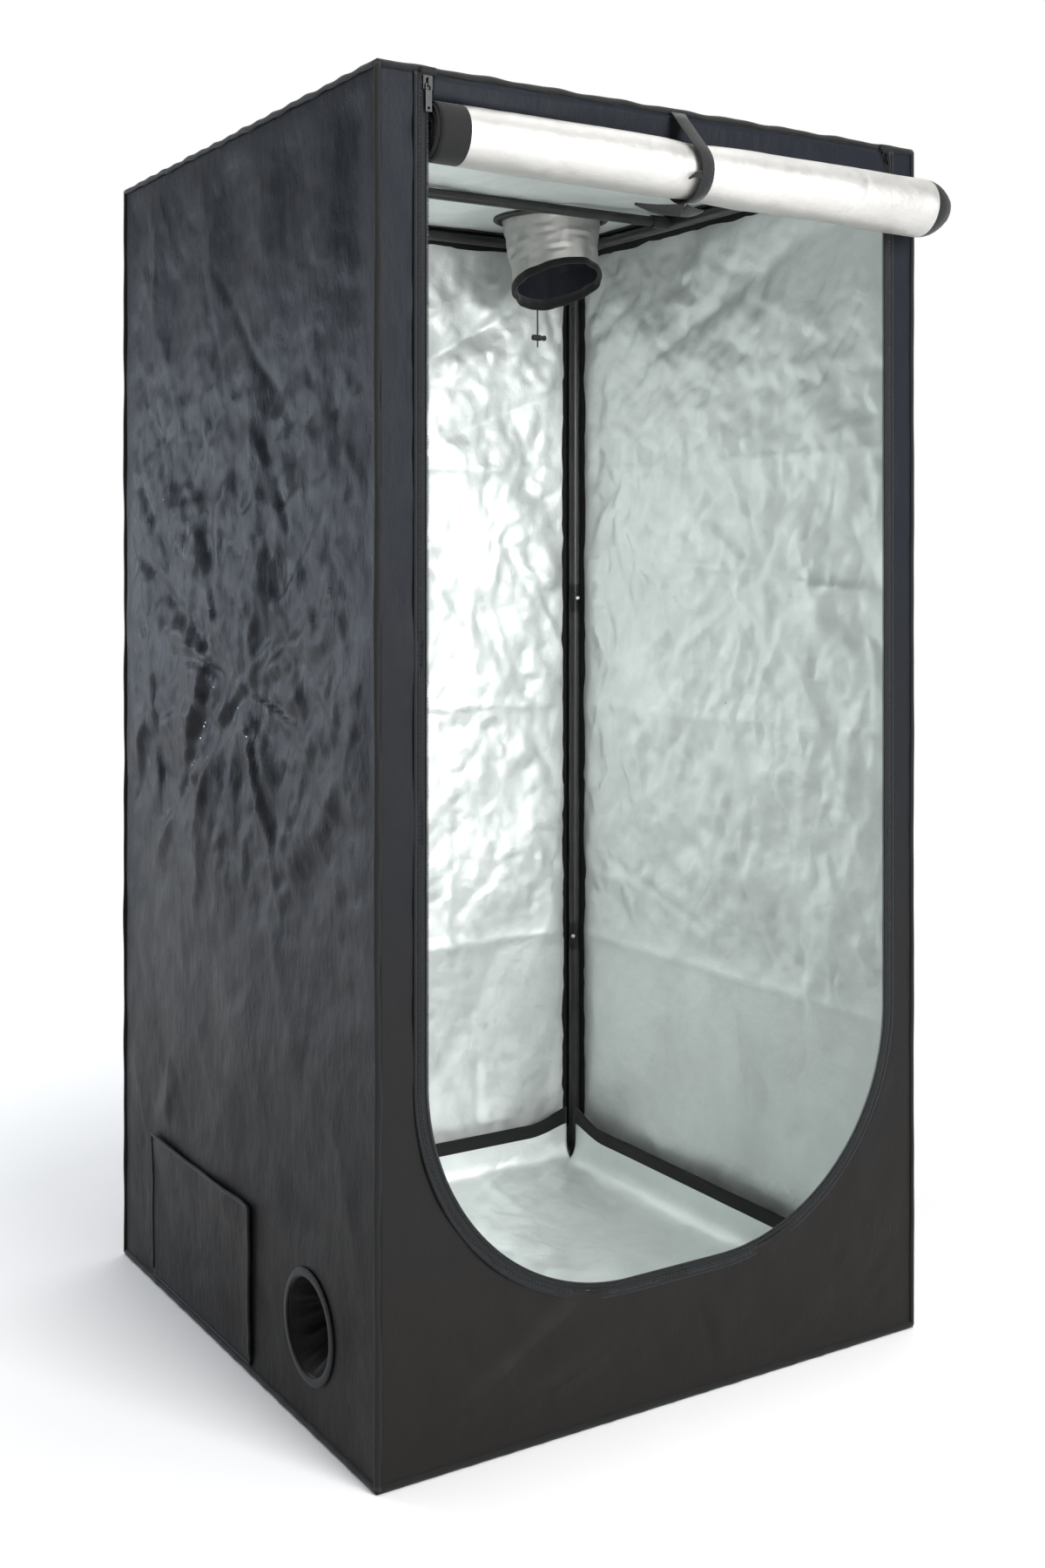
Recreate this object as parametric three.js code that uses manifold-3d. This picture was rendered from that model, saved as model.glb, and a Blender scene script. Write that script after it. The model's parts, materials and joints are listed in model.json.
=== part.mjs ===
// A free-standing reflective fabric tent on a pole frame, with its front door rolled up.
// Millimetres, +Z up. The origin lies on the floor under the middle of the tent; the door faces -Y.
import * as THREE from "three";
import { mergeVertices } from "three/addons/utils/BufferGeometryUtils.js";
import Module from "manifold-3d";

const wasm = await Module();
wasm.setup();

// ---------------------------------------------------------------- driving dimensions
// Shell
const WIDTH = 820;
const DEPTH = 820;
const HEIGHT = 1600;
const CLOTH = 3;
const SEAM_GAP = 0.3;
const SHELL_TO_FRAME = 0.5;

// Pole frame
const POLE_RADIUS = 9.5;
const POLE_WALL = 1;
const POLE_SIDES = 12;
const SOCKET_WALL = 2.7;
const SOCKET_FIT = 0.3;
const SOCKET_REACH = 45;
const SOCKET_STOP = 14;
const END_GAP = 0.5;

// Post joints: a swaged spigot on the lower tube, held by a sprung button
const LOWER_BUTTON_Z = 394;
const UPPER_BUTTON_Z = 980;
const SPIGOT_LENGTH = 50;
const SPIGOT_FIT = 0.1;
const BUTTON_RADIUS = 3.5;
const BUTTON_FIT = 0.1;
const BUTTON_RISE = 3.4;
const BUTTON_FLANGE_RADIUS = 4.5;
const BUTTON_SIDES = 12;

// Hanging bar
const BAR_RADIUS = 8;
const BAR_TO_SLEEVE = 39.5;
const HOOK_FIT = 0.1;
const HOOK_WALL = 2.3;
const HOOK_WIDTH = 16;
const HOOK_LIP = 5;
const HOOK_SLEEVE_LENGTH = 30;

// Door opening, measured at the zip teeth
const OPENING_LEFT_STRIP = 63;
const OPENING_RIGHT_STRIP = 55;
const OPENING_SILL = 168;
const OPENING_CORNER_RADIUS = 280;
const HEADER_HEIGHT = 4;

// Zip
const TAPE_WIDTH = 13;
const TAPE_THICKNESS = 1.2;
const TEETH_WIDTH = 3;
const TEETH_THICKNESS = 3;
const TAPE_OVERHANG = 7;
const TAPE_TOP_DROP = 6;
const SLIDER_FIT = 0.1;
const SLIDER_PLATE = 1.6;
const SLIDER_SHOULDER = 3;
const SLIDER_LENGTH = 16;
const SLIDER_POST_WIDTH = 2.2;
const SLIDER_POST_LENGTH = 5;
const SLIDER_TOP_DROP = 17;
const BRIDGE_WIDTH = 2.6;
const BRIDGE_HEIGHT = 3.8;
const BRIDGE_BAR = 1.2;
const BRIDGE_LENGTH = 10;
const PULLER_THICKNESS = 1.6;
const PULLER_LENGTH = 31;
const PULLER_PLAY = 1;
const PULLER_RIB = 1.7;
const PULLER_FIT = 0.4;
const PULLER_WINDOW_LENGTH = 6;
const PULLER_GRIP_RADIUS = 1.8;

// Rolled door and its strap
const ROLL_LEFT_RADIUS = 37;
const ROLL_RIGHT_RADIUS = 38;
const ROLL_LEFT_TO_POLE = 4.5;
const ROLL_RIGHT_DROP = 92;
const ROLL_RIGHT_BACK_GAP = 20;
const ROLL_LEFT_TO_SLIDER = 5;
const ROLL_RIGHT_TO_SIDE = 8;
const ROLL_NOSE_LENGTH = 34;
const DOOR_CLOTH = 2.5;
const DOOR_TOP_DROP = 2;
const DOOR_TO_SLIDER = 2;
const STRAP_WIDTH = 22;
const STRAP_X = 12;
const STRAP_THICKNESS = 1.8;
const STRAP_GAP = 1.2;
const STRAP_TO_ROLL = 2.6;

// Ceiling duct sleeve, its drawcord and cord lock
const SLEEVE_FROM_RIGHT = 165;
const SLEEVE_FROM_BACK = 170;
const SLEEVE_TOP_RADIUS = 81;
const SLEEVE_MOUTH_RADIUS = 71;
const SLEEVE_DROP = 109;
const SLEEVE_MOUTH_SLOPE = 0.39;
const SLEEVE_LEAN_X = 9;
const SLEEVE_LEAN_Y = -6;
const SLEEVE_CLOTH = 2.5;
const SLEEVE_FLANGE = 12.5;
const CORD_RADIUS = 1.25;
const CORD_LENGTH = 62;
const CORD_EXIT_ANGLE = 85;
const HEM_GAP = 1.2;
const LOCK_DROP = 46;
const LOCK_RADIUS = 5;
const LOCK_LENGTH = 16;
const LOCK_BEHIND_CORD = 10;
const LOCK_END_WALL = 2;
const LOCK_CORD_FIT = 0.4;
const PLUNGER_RADIUS = 3.5;
const PLUNGER_FIT = 0.1;
const PLUNGER_TRAVEL = 4;
const PLUNGER_HEAD_RADIUS = 4.5;
const PLUNGER_HEAD_LENGTH = 5.5;

// Side duct port with its gathered sleeve
const PORT_FROM_FRONT = 175;
const PORT_Z = 125;
const PORT_SLEEVE_RADIUS = 60;
const PORT_FIT = 1;
const PORT_RING_WIDTH = 8.5;
const PORT_MOUTH_RADIUS = 34;
const PORT_SLEEVE_DEPTH = 55;
const PORT_SLEEVE_RISE = 15;
const PORT_RING_THICKNESS = 2.7;

// Vent window with its flap and mesh
const FLAP_FROM_PORT = 101.5;
const FLAP_FROM_BACK = 128;
const FLAP_BOTTOM = 15;
const FLAP_HEIGHT = 200;
const FLAP_THICKNESS = 2.5;
const WINDOW_MARGIN = 25;
const MESH_OVERLAP = 12;
const MESH_THICKNESS = 1.5;

// Floor tray
const TRAY_CLOTH = 2.5;
const TRAY_TO_FRAME = 0.8;
const TRAY_RIM = 80;
const TRAY_ABOVE_PORT_FOOT = 1;
const TRAY_CORNER_RIM = 100;
const TRAY_CORNER_SPAN = 90;

// ---------------------------------------------------------------- places worked out from them
const halfWidth = WIDTH / 2;
const halfDepth = DEPTH / 2;
const socketRadius = POLE_RADIUS + SOCKET_FIT + SOCKET_WALL;
const frameInset = CLOTH + SHELL_TO_FRAME + socketRadius;
const postX = halfWidth - frameInset;
const postY = halfDepth - frameInset;
const bottomZ = frameInset;
const topZ = HEIGHT - frameInset;
const openingLeft = -halfWidth + OPENING_LEFT_STRIP;
const openingRight = halfWidth - OPENING_RIGHT_STRIP;
const frontFace = -halfDepth;
const tapeBack = frontFace - SEAM_GAP;
const teethY = tapeBack - TAPE_THICKNESS / 2;
const sleeveX = halfWidth - SLEEVE_FROM_RIGHT;
const sleeveY = halfDepth - SLEEVE_FROM_BACK;
const sleeveTop = HEIGHT - CLOTH - SEAM_GAP;
const portY = -halfDepth + PORT_FROM_FRONT;
const portHole = PORT_SLEEVE_RADIUS + PORT_FIT;
const portRing = PORT_SLEEVE_RADIUS + PORT_RING_WIDTH;
const trayPortRim = PORT_Z - PORT_SLEEVE_RADIUS + TRAY_ABOVE_PORT_FOOT;
const flapFront = portY + portRing + FLAP_FROM_PORT;
const flapBack = halfDepth - FLAP_FROM_BACK;

// ---------------------------------------------------------------- materials
function material(colour, roughness, metalness) {
  return new THREE.MeshStandardMaterial({ color: colour, roughness, metalness });
}
const shellCloth = material(0x33383b, 0.55, 0);
const silverCloth = material(0xd5d8d6, 0.35, 0.4);
const blackWebbing = material(0x16181a, 0.8, 0);
const blackPole = material(0x1b1c1e, 0.4, 0.3);
const blackPlastic = material(0x1a1a1b, 0.5, 0);
const zipMetal = material(0x2a2b2d, 0.35, 0.7);
const brightSteel = material(0xc4c6c8, 0.3, 0.9);
const meshCloth = material(0x202224, 0.85, 0);

// ---------------------------------------------------------------- shape helpers
const tent = new THREE.Group();

function addPart(name, geometry, look, parent = tent) {
  const part = new THREE.Mesh(geometry, look);
  part.name = name;
  parent.add(part);
  return part;
}

function toSolid(geometry) {
  const bare = geometry.clone();
  bare.deleteAttribute("normal");
  bare.deleteAttribute("uv");
  const merged = mergeVertices(bare, 1e-3);
  return new wasm.Manifold(new wasm.Mesh({
    numProp: 3,
    vertProperties: new Float32Array(merged.attributes.position.array),
    triVerts: new Uint32Array(merged.index.array),
  }));
}

function toGeometry(solid) {
  const result = solid.getMesh();
  const geometry = new THREE.BufferGeometry();
  geometry.setAttribute("position", new THREE.BufferAttribute(result.vertProperties, 3));
  geometry.setIndex(new THREE.BufferAttribute(result.triVerts, 1));
  return geometry;
}

function box(low, high) {
  const size = high.map((value, i) => value - low[i]);
  const geometry = new THREE.BoxGeometry(...size);
  return geometry.translate(...low.map((value, i) => value + size[i] / 2));
}

// A closed (radius, height) profile turned about Z, listed upward along its outside.
function turned(profile, sides) {
  const points = profile.map(([radius, height]) => new THREE.Vector2(radius, height));
  points.push(points[0].clone());
  return new THREE.LatheGeometry(points, sides).rotateX(Math.PI / 2);
}

// A solid turned about Z whose profile starts and ends on the axis.
function turnedSolid(profile, sides) {
  const points = profile.map(([radius, height]) => new THREE.Vector2(radius, height));
  return new THREE.LatheGeometry(points, sides).rotateX(Math.PI / 2);
}

function rod(radius, from, to, sides) {
  return turnedSolid([[0, from], [radius, from], [radius, to], [0, to]], sides);
}

// A sheet drawn in (x, z), between two y values.
function sheetXZ(shape, yFrom, yTo, curveSegments = 12) {
  const geometry = new THREE.ExtrudeGeometry(shape, {
    depth: yTo - yFrom, bevelEnabled: false, curveSegments, steps: 1,
  });
  const basis = new THREE.Matrix4().makeBasis(
    new THREE.Vector3(1, 0, 0), new THREE.Vector3(0, 0, 1), new THREE.Vector3(0, -1, 0));
  return geometry.applyMatrix4(basis).translate(0, yTo, 0);
}

// A sheet drawn in (y, z), between two x values.
function sheetYZ(shape, xFrom, xTo, curveSegments = 12) {
  const geometry = new THREE.ExtrudeGeometry(shape, {
    depth: xTo - xFrom, bevelEnabled: false, curveSegments, steps: 1,
  });
  const basis = new THREE.Matrix4().makeBasis(
    new THREE.Vector3(0, 1, 0), new THREE.Vector3(0, 0, 1), new THREE.Vector3(1, 0, 0));
  return geometry.applyMatrix4(basis).translate(xFrom, 0, 0);
}

function rectangle(left, right, bottom, top) {
  return new THREE.Shape([
    new THREE.Vector2(left, bottom), new THREE.Vector2(right, bottom),
    new THREE.Vector2(right, top), new THREE.Vector2(left, top),
  ]);
}

function circleHole(x, y, radius) {
  return new THREE.Path().absarc(x, y, radius, 0, 2 * Math.PI, false);
}

function rectangleHole(left, right, bottom, top) {
  return new THREE.Path([
    new THREE.Vector2(left, bottom), new THREE.Vector2(left, top),
    new THREE.Vector2(right, top), new THREE.Vector2(right, bottom),
  ]);
}

// The door's U, grown outward from the zip teeth by `grow`: down the left leg and up the right one.
function traceU(path, grow, top) {
  const left = openingLeft - grow;
  const right = openingRight + grow;
  const radius = OPENING_CORNER_RADIUS + grow;
  const curveZ = OPENING_SILL + OPENING_CORNER_RADIUS;
  path.moveTo(left, top);
  path.lineTo(left, curveZ);
  path.absarc(left + radius, curveZ, radius, Math.PI, 1.5 * Math.PI, false);
  path.absarc(right - radius, curveZ, radius, 1.5 * Math.PI, 2 * Math.PI, false);
  path.lineTo(right, top);
  return path;
}

// ---------------------------------------------------------------- pole frame
// Three sockets that meet at a corner: along -X, along -Y and along the post.
function cornerConnector(postDirection) {
  const bore = POLE_RADIUS + SOCKET_FIT;
  const legs = [
    (leg) => leg.rotateY(-Math.PI / 2),
    (leg) => leg.rotateX(Math.PI / 2),
    (leg) => (postDirection > 0 ? leg : leg.rotateX(Math.PI)),
  ];
  const half = socketRadius;
  let solid = toSolid(box([-half, -half, -half], [half, half, half]));
  for (const turn of legs) {
    solid = solid.add(toSolid(turn(rod(socketRadius, 0, SOCKET_REACH, POLE_SIDES))));
  }
  for (const turn of legs) {
    solid = solid.subtract(toSolid(turn(rod(bore, SOCKET_STOP, SOCKET_REACH + 1, POLE_SIDES))));
  }
  return toGeometry(solid);
}

const corners = [
  { name: "back_right", x: 1, y: 1, turn: 0 },
  { name: "back_left", x: -1, y: 1, turn: Math.PI / 2 },
  { name: "front_left", x: -1, y: -1, turn: Math.PI },
  { name: "front_right", x: 1, y: -1, turn: 1.5 * Math.PI },
];

for (const level of ["bottom", "top"]) {
  const shape = cornerConnector(level === "bottom" ? 1 : -1);
  for (const corner of corners) {
    const connector = addPart(`corner_${corner.name}_${level}`, shape, blackPlastic);
    connector.position.set(corner.x * postX, corner.y * postY, level === "bottom" ? bottomZ : topZ);
    connector.rotation.z = corner.turn;
  }
}

function poleTube(length, radius = POLE_RADIUS) {
  return turned([
    [radius - POLE_WALL, 0], [radius, 0], [radius, length], [radius - POLE_WALL, length],
  ], POLE_SIDES);
}

for (const [level, z] of [["bottom", bottomZ], ["top", topZ]]) {
  const socketSpan = 2 * (SOCKET_STOP + END_GAP);
  const acrossLength = 2 * postX - socketSpan;
  const alongLength = 2 * postY - socketSpan;
  for (const [name, side] of [["front", -1], ["back", 1]]) {
    const pole = addPart(`pole_${level}_${name}`, poleTube(acrossLength), blackPole);
    pole.position.set(-acrossLength / 2, side * postY, z);
    pole.rotation.y = Math.PI / 2;
  }
  for (const [name, side] of [["left", -1], ["right", 1]]) {
    const pole = addPart(`pole_${level}_${name}`, poleTube(alongLength), blackPole);
    pole.position.set(side * postX, alongLength / 2, z);
    pole.rotation.x = Math.PI / 2;
  }
}

// A post tube from z `from` to the seam; with a spigot, its top is swaged to enter the next tube.
function postTube(from, seam, hasSpigot) {
  const inner = POLE_RADIUS - POLE_WALL;
  if (!hasSpigot) {
    return turned([[inner, from], [POLE_RADIUS, from], [POLE_RADIUS, seam], [inner, seam]], POLE_SIDES);
  }
  const spigot = inner - SPIGOT_FIT;
  return turned([
    [inner, from], [POLE_RADIUS, from], [POLE_RADIUS, seam - END_GAP - POLE_WALL],
    [spigot, seam - END_GAP], [spigot, seam + SPIGOT_LENGTH],
    [spigot - POLE_WALL, seam + SPIGOT_LENGTH], [spigot - POLE_WALL, seam - 3 * POLE_WALL],
    [inner, seam - 5 * POLE_WALL],
  ], POLE_SIDES);
}

// A round cutter through one wall of a post, towards `angle` in plan.
function buttonHole(z, angle) {
  const cutter = rod(BUTTON_RADIUS + BUTTON_FIT, 0, 2 * POLE_RADIUS, BUTTON_SIDES);
  return toSolid(cutter.rotateY(Math.PI / 2).rotateZ(angle).translate(0, 0, z));
}

// A domed pin with a flange that keeps it inside the spigot.
function snapButton() {
  const flangeTop = Math.sqrt((POLE_RADIUS - 2 * POLE_WALL - SPIGOT_FIT) ** 2
    - BUTTON_FLANGE_RADIUS ** 2) - END_GAP;
  const tip = POLE_RADIUS + BUTTON_RISE;
  return turnedSolid([
    [0, flangeTop - 1], [BUTTON_FLANGE_RADIUS, flangeTop - 1], [BUTTON_FLANGE_RADIUS, flangeTop],
    [BUTTON_RADIUS, flangeTop], [BUTTON_RADIUS, tip - 0.5 * BUTTON_RISE],
    [0.7 * BUTTON_RADIUS, tip - 0.15 * BUTTON_RISE], [0, tip],
  ], BUTTON_SIDES).rotateY(Math.PI / 2);
}

const lowerSeam = LOWER_BUTTON_Z - SPIGOT_LENGTH / 2;
const upperSeam = UPPER_BUTTON_Z - SPIGOT_LENGTH / 2;
const postBottom = bottomZ + SOCKET_STOP + END_GAP;
const postTop = topZ - SOCKET_STOP - END_GAP;
for (const corner of corners) {
  const post = new THREE.Group();
  post.position.set(corner.x * postX, corner.y * postY, 0);
  tent.add(post);
  // Lower buttons face the middle of the tent, upper ones face along the side walls.
  const lowerAngle = Math.atan2(-corner.y, -corner.x);
  const upperAngle = Math.atan2(-corner.y, 0);
  const lowerHole = buttonHole(LOWER_BUTTON_Z, lowerAngle);
  const upperHole = buttonHole(UPPER_BUTTON_Z, upperAngle);
  const lower = toSolid(postTube(postBottom, lowerSeam, true)).subtract(lowerHole);
  const middle = toSolid(postTube(lowerSeam, upperSeam, true)).subtract(lowerHole).subtract(upperHole);
  const upper = toSolid(postTube(upperSeam, postTop, false)).subtract(upperHole);
  addPart(`post_${corner.name}_lower`, toGeometry(lower), blackPole, post);
  addPart(`post_${corner.name}_middle`, toGeometry(middle), blackPole, post);
  addPart(`post_${corner.name}_upper`, toGeometry(upper), blackPole, post);
  for (const [level, z, angle] of [["lower", LOWER_BUTTON_Z, lowerAngle],
    ["upper", UPPER_BUTTON_Z, upperAngle]]) {
    const button = addPart(`snap_button_${corner.name}_${level}`, snapButton(), brightSteel, post);
    button.position.z = z;
    button.rotation.z = angle;
  }
}

// ---------------------------------------------------------------- hanging bar
const barY = sleeveY - SLEEVE_TOP_RADIUS - BAR_TO_SLEEVE - BAR_RADIUS;
const barEnd = postX - POLE_RADIUS - HOOK_WALL - 2 * HOOK_FIT - END_GAP;
const barPole = addPart("hanging_bar", poleTube(2 * barEnd, BAR_RADIUS), blackPole);
barPole.position.set(-barEnd, barY, topZ);
barPole.rotation.y = Math.PI / 2;

// A saddle over the side pole, joined to a collar on the bar; drawn about the side pole's axis.
function barHook(side) {
  const inner = POLE_RADIUS + HOOK_FIT;
  const outer = inner + HOOK_WALL;
  const saddle = new THREE.Shape();
  saddle.moveTo(outer, -HOOK_LIP);
  saddle.lineTo(outer, 0);
  saddle.absarc(0, 0, outer, 0, Math.PI, false);
  saddle.lineTo(-outer, -HOOK_LIP);
  saddle.lineTo(-inner, -HOOK_LIP);
  saddle.lineTo(-inner, 0);
  saddle.absarc(0, 0, inner, Math.PI, 0, true);
  saddle.lineTo(inner, -HOOK_LIP);
  saddle.closePath();
  const saddleSolid = toSolid(sheetXZ(saddle, -HOOK_WIDTH / 2, HOOK_WIDTH / 2, 8));
  const collarOuter = BAR_RADIUS + SOCKET_FIT + HOOK_WALL;
  const reach = HOOK_SLEEVE_LENGTH + outer;
  const towardsMiddle = (part) => part.rotateY(side > 0 ? -Math.PI / 2 : Math.PI / 2);
  const collar = toSolid(towardsMiddle(rod(collarOuter, inner + HOOK_WALL / 2, reach, POLE_SIDES)));
  const bore = rod(BAR_RADIUS + SOCKET_FIT, postX - barEnd - END_GAP, reach + 1, POLE_SIDES);
  const poleClearance = rod(inner, -HOOK_WIDTH, HOOK_WIDTH, POLE_SIDES).rotateX(Math.PI / 2);
  return toGeometry(saddleSolid.add(collar)
    .subtract(toSolid(towardsMiddle(bore)))
    .subtract(toSolid(poleClearance)));
}
for (const [name, side] of [["left", -1], ["right", 1]]) {
  const hook = addPart(`bar_hook_${name}`, barHook(side), blackPlastic);
  hook.position.set(side * postX, barY, topZ);
}

// ---------------------------------------------------------------- fabric shell
const wallBottom = CLOTH + SEAM_GAP;
const wallTop = HEIGHT - CLOTH - SEAM_GAP;
const panelHalf = halfWidth - CLOTH - SEAM_GAP;

const leftOutline = rectangle(-halfDepth, halfDepth, wallBottom, wallTop);
leftOutline.holes.push(circleHole(portY, PORT_Z, portHole));
leftOutline.holes.push(rectangleHole(flapFront + WINDOW_MARGIN, flapBack - WINDOW_MARGIN,
  FLAP_BOTTOM + WINDOW_MARGIN, FLAP_BOTTOM + FLAP_HEIGHT - WINDOW_MARGIN));
addPart("left_wall", sheetYZ(leftOutline, -halfWidth, -halfWidth + CLOTH), shellCloth);

const rightOutline = rectangle(-halfDepth, halfDepth, wallBottom, wallTop);
addPart("right_wall", sheetYZ(rightOutline, halfWidth - CLOTH, halfWidth), shellCloth);

const backOutline = rectangle(-panelHalf, panelHalf, wallBottom, wallTop);
addPart("back_wall", sheetXZ(backOutline, halfDepth - CLOTH, halfDepth), shellCloth);

const frontOutline = rectangle(-panelHalf, panelHalf, wallBottom, wallTop);
frontOutline.holes.push(traceU(new THREE.Path(), TAPE_OVERHANG, wallTop - HEADER_HEIGHT));
addPart("front_panel", sheetXZ(frontOutline, frontFace, frontFace + CLOTH), shellCloth);

const ceilingHole = SLEEVE_TOP_RADIUS - SLEEVE_CLOTH;
const ceilingOutline = rectangle(-halfWidth, halfWidth, -halfDepth, halfDepth);
ceilingOutline.holes.push(circleHole(sleeveX, sleeveY, ceilingHole));
const ceiling = addPart("ceiling", new THREE.ExtrudeGeometry(ceilingOutline, {
  depth: CLOTH, bevelEnabled: false, curveSegments: 12,
}), shellCloth);
ceiling.position.z = HEIGHT - CLOTH;

addPart("base_sheet", box([-halfWidth, -halfDepth, 0], [halfWidth, halfDepth, CLOTH]), shellCloth);

// ---------------------------------------------------------------- floor tray
// An open box inside the frame; each rim climbs to its corners.
const trayHalfX = postX - socketRadius - TRAY_TO_FRAME;
const trayHalfY = postY - socketRadius - TRAY_TO_FRAME;
const trayFloor = CLOTH + 2 * SEAM_GAP;

function trayRim(half, rim) {
  return new THREE.Shape([
    new THREE.Vector2(-half, trayFloor), new THREE.Vector2(half, trayFloor),
    new THREE.Vector2(half, TRAY_CORNER_RIM), new THREE.Vector2(half - TRAY_CORNER_SPAN, rim),
    new THREE.Vector2(-half + TRAY_CORNER_SPAN, rim), new THREE.Vector2(-half, TRAY_CORNER_RIM),
  ]);
}
const trayWalls = [
  sheetXZ(trayRim(trayHalfX, TRAY_RIM), -trayHalfY, -trayHalfY + TRAY_CLOTH),
  sheetXZ(trayRim(trayHalfX, TRAY_RIM), trayHalfY - TRAY_CLOTH, trayHalfY),
  sheetYZ(trayRim(trayHalfY, trayPortRim), -trayHalfX, -trayHalfX + TRAY_CLOTH),
  sheetYZ(trayRim(trayHalfY, TRAY_RIM), trayHalfX - TRAY_CLOTH, trayHalfX),
];
let trayBody = toSolid(box([-trayHalfX, -trayHalfY, trayFloor],
  [trayHalfX, trayHalfY, trayFloor + TRAY_CLOTH]));
for (const wall of trayWalls) trayBody = trayBody.add(toSolid(wall));
addPart("floor_tray", toGeometry(trayBody), silverCloth);

// ---------------------------------------------------------------- zip
const tapeTop = HEIGHT - TAPE_TOP_DROP;
const teethTop = wallTop - HEADER_HEIGHT - SEAM_GAP;

// A band that follows the door's U between two offsets from the teeth.
function bandU(outerGrow, innerGrow, top, yFrom, yTo) {
  const outer = traceU(new THREE.Path(), outerGrow, top).getPoints(9);
  const inner = traceU(new THREE.Path(), innerGrow, top).getPoints(9);
  return toSolid(sheetXZ(new THREE.Shape([...outer, ...inner.reverse()]), yFrom, yTo));
}
const tape = bandU(TAPE_WIDTH, TEETH_WIDTH / 2, tapeTop, tapeBack - TAPE_THICKNESS, tapeBack);
const teeth = bandU(TEETH_WIDTH, 0, teethTop, teethY - TEETH_THICKNESS / 2, teethY + TEETH_THICKNESS / 2);
addPart("door_zip_tape", toGeometry(tape.add(teeth)), blackWebbing);

// A slider clasps the fixed teeth; x grows towards the opening, from the teeth's edge.
const plateInner = TEETH_THICKNESS / 2 + SLIDER_FIT;
const plateOuter = plateInner + SLIDER_PLATE;
const sliderHalf = TEETH_WIDTH + SLIDER_SHOULDER;
const halfLength = SLIDER_LENGTH / 2;

function sliderBody(side) {
  const flip = (low, high) => (side > 0 ? [-high, -low] : [low, high]);
  const block = (x, y, z) => {
    const [left, right] = flip(...x);
    return toSolid(box([left, y[0], z[0]], [right, y[1], z[1]]));
  };
  const slotHalf = TAPE_THICKNESS / 2 + SLIDER_FIT;
  const postFrom = SEAM_GAP;
  const pocketEdge = TEETH_WIDTH + SLIDER_FIT;
  const ends = [-halfLength - 1, halfLength + 1];
  return block([-sliderHalf, sliderHalf], [-plateOuter, plateOuter], [-halfLength, halfLength])
    .subtract(block([-pocketEdge, pocketEdge], [-plateInner, plateInner], ends))
    .subtract(block([-sliderHalf - 1, sliderHalf + 1], [-slotHalf, slotHalf], ends))
    .add(block([postFrom, postFrom + SLIDER_POST_WIDTH], [-plateOuter, plateOuter],
      [halfLength - SLIDER_POST_LENGTH, halfLength]))
    .add(bridge());
}

// The arch that the puller's cross bar hangs in.
function bridge() {
  const low = -plateOuter - BRIDGE_HEIGHT;
  const half = BRIDGE_WIDTH / 2;
  const end = BRIDGE_LENGTH / 2;
  const outer = box([-half, low, -end], [half, -plateOuter + SLIDER_PLATE / 2, end]);
  const gap = box([-half - 1, low + BRIDGE_BAR, -end + BRIDGE_BAR],
    [half + 1, -plateOuter, end - BRIDGE_BAR]);
  return toSolid(outer).subtract(toSolid(gap));
}

// Hangs from its cross bar, whose axis is the local X axis.
function pullerTab() {
  const barRadius = PULLER_THICKNESS / 2;
  const windowHalf = BRIDGE_WIDTH / 2 + PULLER_PLAY;
  const half = windowHalf + PULLER_RIB;
  const plate = toSolid(box([-half, -barRadius, -PULLER_LENGTH], [half, barRadius, barRadius]));
  const bridgeWindow = toSolid(box(
    [-windowHalf, -PULLER_THICKNESS, -barRadius - PULLER_WINDOW_LENGTH],
    [windowHalf, PULLER_THICKNESS, -barRadius]));
  const gripHole = toSolid(rod(PULLER_GRIP_RADIUS, -PULLER_THICKNESS, PULLER_THICKNESS, 12)
    .rotateX(Math.PI / 2).translate(0, 0, -PULLER_LENGTH + 2.2 * PULLER_GRIP_RADIUS));
  return toGeometry(plate.subtract(bridgeWindow).subtract(gripHole));
}

const crossBarInset = BRIDGE_BAR + PULLER_THICKNESS / 2 + PULLER_FIT;
const crossBarY = -plateOuter - BRIDGE_HEIGHT + crossBarInset;
const crossBarZ = -BRIDGE_LENGTH / 2 + crossBarInset;
for (const [name, side, x] of [["left", -1, openingLeft], ["right", 1, openingRight]]) {
  const assembly = new THREE.Group();
  assembly.position.set(x, teethY, HEIGHT - SLIDER_TOP_DROP);
  tent.add(assembly);
  addPart(`zip_slider_${name}`, toGeometry(sliderBody(side)), zipMetal, assembly);
  const puller = addPart(`zip_puller_${name}`, pullerTab(), zipMetal, assembly);
  puller.position.set(0, crossBarY, crossBarZ);
}

// ---------------------------------------------------------------- rolled door
const rollLeft = new THREE.Vector3(openingLeft + sliderHalf + ROLL_LEFT_TO_SLIDER,
  -postY, topZ - POLE_RADIUS - ROLL_LEFT_TO_POLE - ROLL_LEFT_RADIUS);
const rollRight = new THREE.Vector3(halfWidth - ROLL_RIGHT_TO_SIDE,
  frontFace - ROLL_RIGHT_BACK_GAP - ROLL_RIGHT_RADIUS, HEIGHT - ROLL_RIGHT_DROP);
const rollAxis = rollRight.clone().sub(rollLeft);
const rollLength = rollAxis.length();
rollAxis.normalize();

function rollAt(x) {
  const share = (x - rollLeft.x) / (rollRight.x - rollLeft.x);
  const centre = rollLeft.clone().lerp(rollRight, share);
  return { centre, radius: THREE.MathUtils.lerp(ROLL_LEFT_RADIUS, ROLL_RIGHT_RADIUS, share) };
}

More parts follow.
